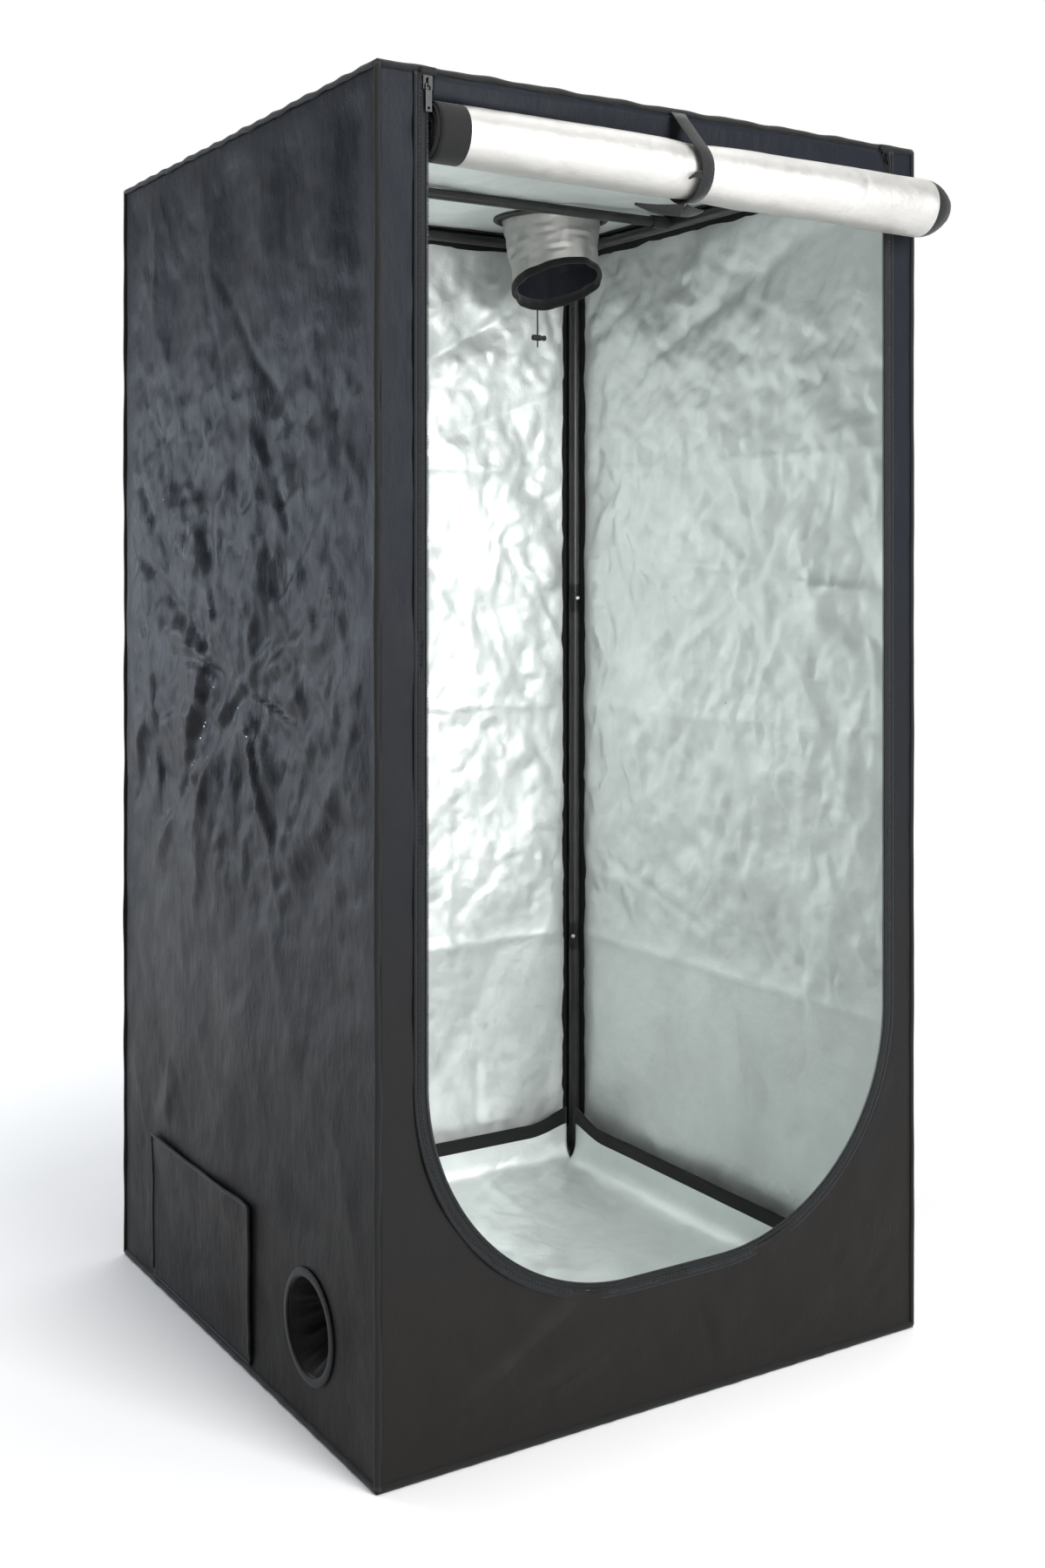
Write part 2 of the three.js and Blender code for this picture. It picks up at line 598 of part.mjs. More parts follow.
const rollBody = turnedSolid([
  [0, 0], [ROLL_LEFT_RADIUS - 2, 0], [ROLL_LEFT_RADIUS, 2],
  [ROLL_RIGHT_RADIUS, rollLength - ROLL_NOSE_LENGTH],
  [0.8 * ROLL_RIGHT_RADIUS, rollLength - 0.4 * ROLL_NOSE_LENGTH],
  [0.4 * ROLL_RIGHT_RADIUS, rollLength], [0, rollLength],
], 24);
rollBody.applyQuaternion(new THREE.Quaternion().setFromUnitVectors(
  new THREE.Vector3(0, 0, 1), rollAxis));
rollBody.translate(rollLeft.x, rollLeft.y, rollLeft.z);

// The left end of the roll is tucked into the opening under the top pole and its right end hangs outside.
// The cloth between the top seam and the roll meets the roll's top on the left and its back on the right.
const flapTop = tapeTop - DOOR_TOP_DROP;
const flapLeft = openingLeft + sliderHalf + DOOR_TO_SLIDER;
const flapRight = openingRight - sliderHalf - DOOR_TO_SLIDER;
const doorFlap = box([0, 0, 0], [1, 1, 1]);
const flapPoints = doorFlap.attributes.position;
for (let i = 0; i < flapPoints.count; i += 1) {
  const isRight = flapPoints.getX(i) > 0.5;
  const x = isRight ? flapRight : flapLeft;
  const isBack = flapPoints.getY(i) > 0.5;
  const isTop = flapPoints.getZ(i) > 0.5;
  const { centre, radius } = rollAt(x);
  const lowerY = isRight ? centre.y + radius - 1 : centre.y;
  const lowerZ = isRight ? centre.z : centre.z + 0.6 * radius;
  const backY = isTop ? frontFace - SEAM_GAP : lowerY;
  flapPoints.setXYZ(i, x, isBack ? backY : backY - DOOR_CLOTH, isTop ? flapTop : lowerZ);
}
addPart("door_roll", toGeometry(toSolid(rollBody).add(toSolid(doorFlap))), silverCloth);

// ---------------------------------------------------------------- strap round the roll
// In (y, z): down in front of the door cloth, round the roll and up behind the door cloth.
function strapOutline(offset) {
  const { centre, radius } = rollAt(STRAP_X);
  const reach = radius + STRAP_TO_ROLL + offset;
  const clothBack = frontFace - SEAM_GAP + STRAP_GAP + offset;
  const clothFront = frontFace - SEAM_GAP - DOOR_CLOTH - STRAP_GAP - offset;
  const tangentAngle = (y, z, turn) => {
    const away = new THREE.Vector2(y - centre.y, z - centre.z);
    return away.angle() + turn * Math.acos(reach / away.length());
  };
  const start = tangentAngle(clothFront, flapTop, 1);
  const end = tangentAngle(clothBack, flapTop, -1) + 2 * Math.PI;
  const points = [new THREE.Vector2(clothFront, flapTop)];
  const steps = 18;
  for (let i = 0; i <= steps; i += 1) {
    const angle = start + (end - start) * i / steps;
    points.push(new THREE.Vector2(centre.y + reach * Math.cos(angle), centre.z + reach * Math.sin(angle)));
  }
  points.push(new THREE.Vector2(clothBack, flapTop));
  return points;
}
const strapShape = new THREE.Shape([...strapOutline(STRAP_THICKNESS), ...strapOutline(0).reverse()]);
addPart("door_strap", sheetYZ(strapShape, STRAP_X - STRAP_WIDTH / 2, STRAP_X + STRAP_WIDTH / 2),
  blackWebbing);

// ---------------------------------------------------------------- ceiling duct sleeve
const mouthZ = sleeveTop - SLEEVE_DROP;
const sleeveShape = turned([
  [SLEEVE_MOUTH_RADIUS - SLEEVE_CLOTH, mouthZ], [SLEEVE_MOUTH_RADIUS, mouthZ],
  [SLEEVE_TOP_RADIUS, sleeveTop - SLEEVE_DROP / 2], [SLEEVE_TOP_RADIUS, sleeveTop - SLEEVE_CLOTH],
  [SLEEVE_TOP_RADIUS + SLEEVE_FLANGE, sleeveTop - SLEEVE_CLOTH], [SLEEVE_TOP_RADIUS + SLEEVE_FLANGE, sleeveTop],
  [ceilingHole, sleeveTop], [ceilingHole, sleeveTop - SLEEVE_DROP / 2],
], 24);
// The sleeve leans a little, and its mouth tips towards the door, so it is longer at its back.
function leanSleeve(point) {
  const share = Math.max(0, sleeveTop - SLEEVE_CLOTH - point.z) / (SLEEVE_DROP - SLEEVE_CLOTH);
  point.z -= SLEEVE_MOUTH_SLOPE * share * point.y;
  point.x += SLEEVE_LEAN_X * share;
  point.y += SLEEVE_LEAN_Y * share;
  return point;
}
const sleevePoints = sleeveShape.attributes.position;
for (let i = 0; i < sleevePoints.count; i += 1) {
  const point = leanSleeve(new THREE.Vector3().fromBufferAttribute(sleevePoints, i));
  sleevePoints.setXYZ(i, point.x, point.y, point.z);
}
addPart("ceiling_sleeve", sleeveShape, silverCloth).position.set(sleeveX, sleeveY, 0);

// The drawcord leaves the mouth's hem and hangs; the lock grips it above its knotted end.
const exitAngle = THREE.MathUtils.degToRad(CORD_EXIT_ANGLE);
const hemRadius = SLEEVE_MOUTH_RADIUS - SLEEVE_CLOTH / 2;
const cordExit = leanSleeve(new THREE.Vector3(hemRadius * Math.cos(exitAngle),
  hemRadius * Math.sin(exitAngle), mouthZ)).add(new THREE.Vector3(sleeveX, sleeveY, -HEM_GAP));
const cordPieces = 14;
const cordEnd = cordExit.clone().setZ(cordExit.z - CORD_LENGTH);
const cordSection = new THREE.Shape();
for (let i = 0; i < 8; i += 1) {
  const angle = i * Math.PI / 4;
  const point = [CORD_RADIUS * Math.cos(angle), CORD_RADIUS * Math.sin(angle)];
  if (i === 0) cordSection.moveTo(...point);
  else cordSection.lineTo(...point);
}
cordSection.closePath();
addPart("sleeve_drawcord", new THREE.ExtrudeGeometry(cordSection, {
  steps: cordPieces, bevelEnabled: false, extrudePath: new THREE.LineCurve3(cordExit, cordEnd),
}), blackWebbing);

// Both lock pieces are turned about the local X axis, with the cord through the origin.
function alongX(profile, sides) {
  return toSolid(turnedSolid(profile, sides).rotateY(Math.PI / 2));
}
const cordSlot = CORD_RADIUS + LOCK_CORD_FIT;
const lockBack = -LOCK_BEHIND_CORD;
const lockFront = lockBack + LOCK_LENGTH;
const boreBack = lockBack + LOCK_END_WALL;
const cordBore = toSolid(rod(cordSlot, -2 * LOCK_RADIUS, 2 * LOCK_RADIUS, 8));
const lockBody = alongX([[0, lockBack], [LOCK_RADIUS - 1, lockBack], [LOCK_RADIUS, lockBack + 1],
  [LOCK_RADIUS, lockFront], [0, lockFront]], 16)
  .subtract(alongX([[0, boreBack], [PLUNGER_RADIUS + PLUNGER_FIT, boreBack],
    [PLUNGER_RADIUS + PLUNGER_FIT, lockFront + 1], [0, lockFront + 1]], 16))
  .subtract(cordBore);
const headFrom = lockFront + PLUNGER_TRAVEL + END_GAP;
const plungerBack = boreBack + PLUNGER_TRAVEL + END_GAP;
const plungerSlot = box([-cordSlot, -cordSlot, -LOCK_RADIUS],
  [cordSlot + PLUNGER_TRAVEL, cordSlot, LOCK_RADIUS]);
const plunger = alongX([[0, plungerBack], [PLUNGER_RADIUS, plungerBack], [PLUNGER_RADIUS, headFrom],
  [PLUNGER_HEAD_RADIUS, headFrom], [PLUNGER_HEAD_RADIUS, headFrom + PLUNGER_HEAD_LENGTH - 1],
  [PLUNGER_HEAD_RADIUS - 1, headFrom + PLUNGER_HEAD_LENGTH], [0, headFrom + PLUNGER_HEAD_LENGTH]], 16)
  .subtract(toSolid(plungerSlot));
const lockPlace = [cordExit.x, cordExit.y, cordExit.z - LOCK_DROP];
addPart("cord_lock_body", toGeometry(lockBody), blackPlastic).position.set(...lockPlace);
addPart("cord_lock_plunger", toGeometry(plunger), blackPlastic).position.set(...lockPlace);

// ---------------------------------------------------------------- side duct port
// Turned about X: height in the profile is the distance inward from the wall's outer face.
const ringOut = SEAM_GAP + PORT_RING_THICKNESS;
const sleeveEnd = CLOTH + PORT_SLEEVE_DEPTH;
const portInner = PORT_SLEEVE_RADIUS - SLEEVE_CLOTH;
const portShape = turned([
  [portInner, -ringOut], [portRing, -ringOut], [portRing, -SEAM_GAP],
  [PORT_SLEEVE_RADIUS, -SEAM_GAP], [PORT_SLEEVE_RADIUS, CLOTH + SEAM_GAP],
  [PORT_MOUTH_RADIUS, sleeveEnd], [PORT_MOUTH_RADIUS - SLEEVE_CLOTH, sleeveEnd],
  [portInner, CLOTH + SEAM_GAP],
], 24).rotateY(Math.PI / 2);
const portPoints = portShape.attributes.position;
for (let i = 0; i < portPoints.count; i += 1) {
  const inward = Math.max(0, portPoints.getX(i) - CLOTH) / PORT_SLEEVE_DEPTH;
  portPoints.setZ(i, portPoints.getZ(i) + PORT_SLEEVE_RISE * inward);
}
addPart("side_sleeve", portShape, shellCloth).position.set(-halfWidth, portY, PORT_Z);

// ---------------------------------------------------------------- vent window
addPart("vent_flap", box(
  [-halfWidth - SEAM_GAP - FLAP_THICKNESS, flapFront, FLAP_BOTTOM],
  [-halfWidth - SEAM_GAP, flapBack, FLAP_BOTTOM + FLAP_HEIGHT]), shellCloth);
const meshInset = WINDOW_MARGIN - MESH_OVERLAP;
addPart("vent_mesh", box(
  [-halfWidth + CLOTH + SEAM_GAP, flapFront + meshInset, FLAP_BOTTOM + meshInset],
  [-halfWidth + CLOTH + SEAM_GAP + MESH_THICKNESS, flapBack - meshInset,
    FLAP_BOTTOM + FLAP_HEIGHT - meshInset]), meshCloth);

export default tent;
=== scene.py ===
import json
import math

import bmesh
import bpy
import numpy as np
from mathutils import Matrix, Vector
from mathutils.geometry import delaunay_2d_cdt


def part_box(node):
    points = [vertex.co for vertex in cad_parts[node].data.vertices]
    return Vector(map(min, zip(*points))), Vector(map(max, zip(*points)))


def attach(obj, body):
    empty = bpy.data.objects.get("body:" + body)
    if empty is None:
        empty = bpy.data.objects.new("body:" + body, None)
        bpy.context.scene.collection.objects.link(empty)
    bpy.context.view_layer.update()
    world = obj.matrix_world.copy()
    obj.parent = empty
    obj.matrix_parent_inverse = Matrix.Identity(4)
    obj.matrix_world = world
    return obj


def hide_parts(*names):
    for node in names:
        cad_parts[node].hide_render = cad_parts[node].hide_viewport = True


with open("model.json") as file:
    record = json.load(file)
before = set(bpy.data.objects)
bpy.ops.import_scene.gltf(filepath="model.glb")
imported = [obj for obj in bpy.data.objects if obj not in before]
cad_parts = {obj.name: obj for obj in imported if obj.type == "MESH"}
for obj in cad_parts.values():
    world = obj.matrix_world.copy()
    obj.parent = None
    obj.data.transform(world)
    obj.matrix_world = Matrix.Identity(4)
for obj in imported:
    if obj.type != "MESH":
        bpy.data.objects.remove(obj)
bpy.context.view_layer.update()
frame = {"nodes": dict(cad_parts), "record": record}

MM = 0.001
CLOTH_GRID = 5.6 * MM
CLOTH_THICKNESS = 1.2 * MM
SIDES = 40


def low(node):
    return np.array(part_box(node)[0])


def high(node):
    return np.array(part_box(node)[1])


def middle(node):
    return (low(node) + high(node)) / 2


# ---------------------------------------------------------------- camera
CAMERA_PLACE = (-1.3231, -2.1668, 1.0370)
CAMERA_YAW = math.radians(32.17)
CAMERA_LENS = 40.68
CAMERA_SHIFT = -0.1396

camera = bpy.data.objects.new("camera", bpy.data.cameras.new("camera"))
camera.location = CAMERA_PLACE
camera.rotation_euler = (math.pi / 2, 0, -CAMERA_YAW)
camera.data.lens = CAMERA_LENS
camera.data.shift_y = CAMERA_SHIFT
bpy.context.scene.collection.objects.link(camera)
bpy.context.scene.camera = camera


# ---------------------------------------------------------------- mesh helpers
def enclosed_volume(points, faces):
    """Positive where a closed shape's faces point out."""
    centred = points - points.mean(0)
    total = 0.0
    for polygons in faces:
        for k in range(1, polygons.shape[1] - 1):
            a, b, c = (centred[polygons[:, m]] for m in (0, k, k + 1))
            total += np.einsum("ij,ij->i", a, np.cross(b, c)).sum()
    return total


def make_mesh(name, points, faces, looks, slot, face_looks=None, uv=None, body="tent", sharp=None):
    """A piece from points and a list of index arrays, one array for each number of corners."""
    points = np.asarray(points, float).reshape(-1, 3)
    if enclosed_volume(points, faces) < 0:
        faces = [f[:, ::-1] for f in faces]
    corners = np.concatenate([f.ravel() for f in faces]).astype(np.int32)
    sizes = np.concatenate([np.full(len(f), f.shape[1]) for f in faces])
    mesh = bpy.data.meshes.new(name)
    mesh.vertices.add(len(points))
    mesh.vertices.foreach_set("co", points.astype(np.float32).ravel())
    mesh.loops.add(len(corners))
    mesh.loops.foreach_set("vertex_index", corners)
    mesh.polygons.add(len(sizes))
    mesh.polygons.foreach_set("loop_start", (np.cumsum(sizes) - sizes).astype(np.int32))
    mesh.update(calc_edges=True)
    mesh.polygons.foreach_set("use_smooth", np.ones(len(sizes), bool))
    if face_looks is not None:
        mesh.polygons.foreach_set("material_index", np.asarray(face_looks, np.int32))
    if uv is None:
        uv = points[:, :2] + points[:, 2:]
    layer = mesh.uv_layers.new(name="cloth")
    layer.data.foreach_set("uv", np.asarray(uv, np.float32)[corners].ravel())
    if sharp is not None:
        mesh.set_sharp_from_angle(angle=math.radians(sharp))
    for look in looks:
        mesh.materials.append(look)
    piece = bpy.data.objects.new(name, mesh)
    bpy.context.scene.collection.objects.link(piece)
    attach(piece, body)
    return piece


def joined(shapes):
    """Several (points, faces) shapes as one."""
    points, faces, start = [], [], 0
    for some_points, some_faces in shapes:
        points.append(np.asarray(some_points, float).reshape(-1, 3))
        faces += [f + start for f in some_faces]
        start += len(points[-1])
    return np.concatenate(points), faces


def frame_along(line, up):
    """Unit tangents and two cross directions that don't twist along a line."""
    tangents = np.gradient(line, axis=0)
    tangents /= np.linalg.norm(tangents, axis=1)[:, None]
    sideways = np.empty_like(line)
    side = np.cross(tangents[0], up)
    for i, tangent in enumerate(tangents):
        side = side - tangent * (side @ tangent)
        side /= np.linalg.norm(side)
        sideways[i] = side
    return tangents, sideways, np.cross(sideways, tangents)


def sweep(line, section, up=(0, 0, 1), ring=False, sizes=None):
    """A section, as (sideways, upward) points, carried along a line. It is capped unless it is a ring."""
    line = np.asarray(line, float)
    section = np.asarray(section, float)
    _, side, over = frame_along(line, np.asarray(up, float))
    if ring:
        step_to_next = np.roll(line, -1, axis=0) - np.roll(line, 1, axis=0)
        step_to_next /= np.linalg.norm(step_to_next, axis=1)[:, None]
        over = np.broadcast_to(np.asarray(up, float), line.shape)
        over = over - step_to_next * (over * step_to_next).sum(1)[:, None]
        over /= np.linalg.norm(over, axis=1)[:, None]
        side = np.cross(step_to_next, over)
    grow = np.ones(len(line)) if sizes is None else np.asarray(sizes, float)
    cross = section[None, :, :] * grow[:, None, None]
    points = line[:, None, :] + side[:, None, :] * cross[..., :1] + over[:, None, :] * cross[..., 1:]
    count, corners = len(line), len(section)
    i = np.arange(count if ring else count - 1)[:, None]
    j = np.arange(corners)[None, :]
    after, beside = (i + 1) % count, (j + 1) % corners
    quads = np.stack([i * corners + j, after * corners + j, after * corners + beside, i * corners + beside],
                     -1)
    faces = [quads.reshape(-1, 4)]
    if not ring:
        cap = np.arange(corners)
        faces += [cap[None, :], (cap[::-1] + (count - 1) * corners)[None, :]]
    return points.reshape(-1, 3), faces


def circle(radius, sides=12, flatten=1.0):
    angle = np.linspace(0, 2 * math.pi, sides, endpoint=False)
    return np.stack([radius * np.cos(angle), radius * flatten * np.sin(angle)], -1)


def strip(width, thickness):
    """The section of webbing: a flat band with round edges."""
    w, t = width / 2, thickness / 2
    return np.array([(-w + t, -t), (w - t, -t), (w, 0), (w - t, t), (-w + t, t), (-w, 0)])


def revolve(profile, origin, axis, sides=SIDES, tube=False):
    """A (radius, height) profile, listed from the foot up its outside, turned about an axis."""
    axis = Vector(axis).normalized()
    side = axis.orthogonal().normalized()
    over = axis.cross(side)
    angle = np.linspace(0, 2 * math.pi, sides, endpoint=False)
    round_it = np.cos(angle)[:, None] * np.array(side) + np.sin(angle)[:, None] * np.array(over)
    profile = np.asarray(profile, float)
    points = (np.array(origin) + round_it[None] * profile[:, 0, None, None]
              + np.array(axis) * profile[:, 1, None, None])
    rows = len(profile)
    i = np.arange(rows if tube else rows - 1)[:, None]
    j = np.arange(sides)[None, :]
    above, beside = (i + 1) % rows, (j + 1) % sides
    quads = np.stack([i * sides + j, i * sides + beside, above * sides + beside, above * sides + j], -1)
    faces = [quads.reshape(-1, 4)]
    if not tube:
        ends = np.arange(sides)
        faces += [ends[::-1][None, :], (ends + (rows - 1) * sides)[None, :]]
    return points.reshape(-1, 3), faces


def rounded_block(centre, size, bevel, segments=3):
    """A box with rounded edges."""
    shape = bmesh.new()
    bmesh.ops.create_cube(shape, size=1)
    for corner in shape.verts:
        corner.co = Vector([c + p * s for c, p, s in zip(centre, corner.co, size)])
    bmesh.ops.bevel(shape, geom=shape.edges[:], offset=bevel, segments=segments, affect="EDGES", profile=0.6)
    shape.verts.ensure_lookup_table()
    points = np.array([v.co for v in shape.verts])
    by_size = {}
    for face in shape.faces:
        by_size.setdefault(len(face.verts), []).append([v.index for v in face.verts])
    shape.free()
    return points, [np.array(f) for f in by_size.values()]


def cut_or_join(piece, tools, operation):
    """Applies exact booleans of scratch shapes to a piece."""
    for points, faces in tools:
        tool = make_mesh("scratch", points, faces, [], "pole_paint")
        modifier = piece.modifiers.new("cut", "BOOLEAN")
        modifier.operation, modifier.solver, modifier.object = operation, "EXACT", tool
        seen = piece.evaluated_get(bpy.context.evaluated_depsgraph_get())
        result = bpy.data.meshes.new_from_object(seen)
        piece.modifiers.clear()
        piece.data = result
        bpy.data.objects.remove(tool)
    piece.data.polygons.foreach_set("use_smooth", np.ones(len(piece.data.polygons), bool))
    piece.data.set_sharp_from_angle(angle=math.radians(35))


def soften(node, width):
    """A CAD piece keeps its shape and gets fine bevels on its edges."""
    bevel = frame["nodes"][node].modifiers.new("edges", "BEVEL")
    bevel.width, bevel.segments, bevel.limit_method = width, 2, "ANGLE"
    bevel.angle_limit = math.radians(40)


# ---------------------------------------------------------------- node graphs
class Look:
    """A procedural material around one Principled shader."""

    def __init__(self, name, **constants):
        self.material = bpy.data.materials.new(name)
        self.material.use_nodes = True
        self.tree = self.material.node_tree
        self.shader = self.tree.nodes["Principled BSDF"]
        for socket, value in constants.items():
            self.shader.inputs[socket.replace("_", " ")].default_value = value

    def add(self, kind, inputs=None, **settings):
        node = self.tree.nodes.new("ShaderNode" + kind)
        for key, value in settings.items():
            setattr(node, key, value)
        for key, value in (inputs or {}).items():
            if isinstance(value, bpy.types.NodeSocket):
                self.tree.links.new(value, node.inputs[key])
            else:
                node.inputs[key].default_value = value
        return node

    def place(self):
        return self.add("TexCoord").outputs["Object"]

    def flat(self):
        return self.add("TexCoord").outputs["UV"]

    def noise(self, where, scale, detail=4.0, roughness=0.55):
        return self.add("TexNoise", {"Vector": where, "Scale": scale, "Detail": detail,
                                     "Roughness": roughness}).outputs["Fac"]

    def cells(self, where, scale):
        return self.add("TexVoronoi", {"Vector": where, "Scale": scale}).outputs["Distance"]

    def between(self, value, start, end, first=0.0, last=1.0):
        return self.add("MapRange", {"Value": value, "From Min": start, "From Max": end,
                                     "To Min": first, "To Max": last}).outputs["Result"]

    def maths(self, operation, first, second):
        return self.add("Math", {0: first, 1: second}, operation=operation).outputs[0]

    def weave(self, where, pitch):
        """Over and under threads: two crossed waves."""
        scale = 2 * math.pi / (20 * pitch)
        across = self.add("TexWave", {"Vector": where, "Scale": scale}, bands_direction="X")
        along = self.add("TexWave", {"Vector": where, "Scale": scale}, bands_direction="Y")
        return self.maths("MULTIPLY", across.outputs["Fac"], along.outputs["Fac"])

    def mix(self, share, first, second):
        node = self.add("Mix", data_type="RGBA")
        for index, value in ((0, share), (6, first), (7, second)):
            if isinstance(value, bpy.types.NodeSocket):
                self.tree.links.new(value, node.inputs[index])
            else:
                node.inputs[index].default_value = value if index == 0 else (*value, 1)
        return node.outputs[2]

    def colour(self, socket):
        self.tree.links.new(socket, self.shader.inputs["Base Color"])

    def rough(self, socket):
        self.tree.links.new(socket, self.shader.inputs["Roughness"])

    def bump(self, height, distance, strength=1.0, under=None):
        inputs = {"Height": height, "Distance": distance, "Strength": strength}
        if under is not None:
            inputs["Normal"] = under
        normal = self.add("Bump", inputs).outputs["Normal"]
        self.tree.links.new(normal, self.shader.inputs["Normal"])
        return normal


def grey(level, warmth=0.0):
    """A linear colour, a little warmer or cooler than grey."""
    return level * (1 + warmth), level, level * (1 - warmth)


def shell_look():
    look = Look("oxford_cloth", Specular_IOR_Level=0.07)
    height = look.add("SeparateXYZ", {"Vector": look.place()}).outputs["Z"]
    blotches = look.noise(look.place(), 5.0)
    rise = look.maths("ADD", height, look.between(blotches, 0, 1, -0.3, 0.3))
    base = look.mix(look.between(rise, 0.25, 1.1), (0.0150, 0.0140, 0.0130), (0.0120, 0.0140, 0.0180))
    threads = look.weave(look.flat(), 1.3 * MM)
    look.colour(look.mix(look.between(threads, 0, 1, 0.0, 0.25), base, (0.017, 0.019, 0.024)))
    look.rough(look.between(look.noise(look.place(), 18.0), 0.3, 0.7, 0.36, 0.50))
    upright = look.add("Mapping", {"Vector": look.place(), "Scale": (1.0, 1.0, 0.45)}).outputs["Vector"]
    creases = look.bump(look.noise(upright, 52.0, 7.0, 0.62), 2.6 * MM, 0.8)
    look.bump(threads, 0.25 * MM, 0.35, creases)
    return look.material


def silver_look(name, level, tint):
    look = Look(name, Metallic=0.7)
    blotches = look.noise(look.place(), 9.0)
    base = look.mix(look.between(blotches, 0.35, 0.65), [level * 0.95 * t for t in tint],
                    [level * 1.05 * t for t in tint])
    ridges = look.maths("ABSOLUTE", look.maths("SUBTRACT", look.noise(look.place(), 9.0, 1.0, 0.5), 0.5), 0.0)
    look.colour(base)
    look.rough(look.between(look.noise(look.place(), 60.0), 0.3, 0.7, 0.42, 0.56))
    creases = look.bump(look.noise(look.place(), 30.0, 8.0, 0.62), 2.2 * MM, 0.7)
    crinkles = look.bump(look.between(ridges, 0.0, 0.05), 1.2 * MM, 0.25, creases)
    look.bump(look.weave(look.flat(), 1.3 * MM), 0.12 * MM, 0.2, crinkles)
    return look.material


def webbing_look(name, level, pitch, warmth=-0.05):
    look = Look(name, Specular_IOR_Level=0.25, Sheen_Weight=0.15, Sheen_Roughness=0.4)
    threads = look.weave(look.flat(), pitch)
    fuzz = look.noise(look.place(), 300.0)
    base = look.mix(look.between(fuzz, 0.3, 0.7), grey(level * 0.8, warmth), grey(level * 1.3, warmth))
    look.colour(look.mix(look.between(threads, 0, 1, 0.0, 0.4), base, grey(level * 2.2, warmth)))
    look.rough(look.between(fuzz, 0.2, 0.8, 0.62, 0.85))
    look.bump(threads, 0.4 * MM, 0.8)
    return look.material


def paint_look():
    look = Look("black_powder_paint", Coat_Weight=0.1, Coat_Roughness=0.3)
    marks = look.noise(look.place(), 25.0)
    look.colour(look.mix(look.between(marks, 0.35, 0.75), grey(0.010), grey(0.019)))
    look.rough(look.between(marks, 0.3, 0.7, 0.30, 0.44))
    look.bump(look.noise(look.place(), 900.0, 2.0), 0.08 * MM, 0.5)
    return look.material


def plastic_look():
    look = Look("black_moulded_plastic")
    marks = look.noise(look.place(), 40.0)
    look.colour(look.mix(look.between(marks, 0.3, 0.7), grey(0.009), grey(0.016)))
    look.rough(look.between(marks, 0.3, 0.7, 0.42, 0.58))
    look.bump(look.cells(look.place(), 1600.0), 0.1 * MM, 0.5)
    return look.material


def metal_look(name, level, roughness, scratches):
    look = Look(name, Metallic=0.9)
    marks = look.noise(look.place(), scratches, 6.0, 0.7)
    look.colour(look.mix(look.between(marks, 0.3, 0.7), grey(level * 0.75), grey(level * 1.15)))
    look.rough(look.between(marks, 0.3, 0.7, roughness * 0.8, roughness * 1.3))
    look.bump(look.noise(look.place(), scratches * 4), 0.05 * MM, 0.5)
    return look.material


def braid_look():
    look = Look("braided_cord", Specular_IOR_Level=0.3, Sheen_Weight=0.2, Sheen_Roughness=0.4)
    turns = look.add("TexWave", {"Vector": look.place(), "Scale": 190.0}, bands_direction="DIAGONAL")
    look.colour(look.mix(turns.outputs["Fac"], grey(0.009), grey(0.03)))
    look.rough(look.between(turns.outputs["Fac"], 0, 1, 0.6, 0.8))
    look.bump(turns.outputs["Fac"], 0.25 * MM, 0.7)
    return look.material


SHELL = shell_look()
SILVER = silver_look("silver_laminate", 0.80, (0.955, 1.0, 0.985))
# A darker, warmer copy of the same silver laminate: its lower level is painted shade and its warm tint a
# painted reflection. The door roll and the ceiling sleeve use it.
SILVER_SHADED_WARM = silver_look("silver_laminate_painted_shade", 0.46, (1.0, 0.985, 0.95))
TAPE = webbing_look("black_seam_tape", 0.006, 1.6 * MM)
WEBBING = webbing_look("black_webbing", 0.009, 2.4 * MM)
ZIP_TAPE = webbing_look("zip_tape", 0.0075, 1.2 * MM, -0.2)
TEETH = metal_look("zip_teeth", 0.05, 0.35, 300.0)
THREAD = webbing_look("thread", 0.016, 0.6 * MM)
NET = webbing_look("net_cloth", 0.012, 0.8 * MM)
PAINT = paint_look()
PLASTIC = plastic_look()
ZIP_METAL = metal_look("dark_zip_metal", 0.035, 0.34, 400.0)
STEEL = metal_look("bright_steel", 0.70, 0.22, 700.0)
BRAID = braid_look()


# ---------------------------------------------------------------- drawcord, lock and plunger
lock_low, lock_high = low("cord_lock_body"), high("cord_lock_body")
plunger_low, plunger_high = low("cord_lock_plunger"), high("cord_lock_plunger")
cord_low, cord_high = low("sleeve_drawcord"), high("sleeve_drawcord")
CORD_RADIUS = 1.25 * MM
CORD_LENGTH = 0.062
lock_centre = (lock_low + lock_high) / 2
lock_radius = (lock_high[2] - lock_low[2]) / 2
LOCK_AXIS = (1, 0, 0)


def lock_barrel():
    length = lock_high[0] - lock_low[0]
    r = lock_radius
    profile = [(0.2 * r, 0), (0.72 * r, 0), (0.93 * r, 0.05 * length), (r, 0.14 * length), (r, 0.80 * length),
               (1.0 * r, 0.86 * length), (0.95 * r, 0.94 * length), (0.9 * r, length),
               (0.72 * r, length), (0.70 * r, 0.5 * length), (0.2 * r, 0.5 * length)]
    shape = revolve(profile, (lock_low[0], lock_centre[1], lock_centre[2]), LOCK_AXIS, 36, tube=True)
    piece = make_mesh("cord_lock_barrel", *shape, [PLASTIC], "corner_plastic", body="cord_lock", sharp=40)
    return piece


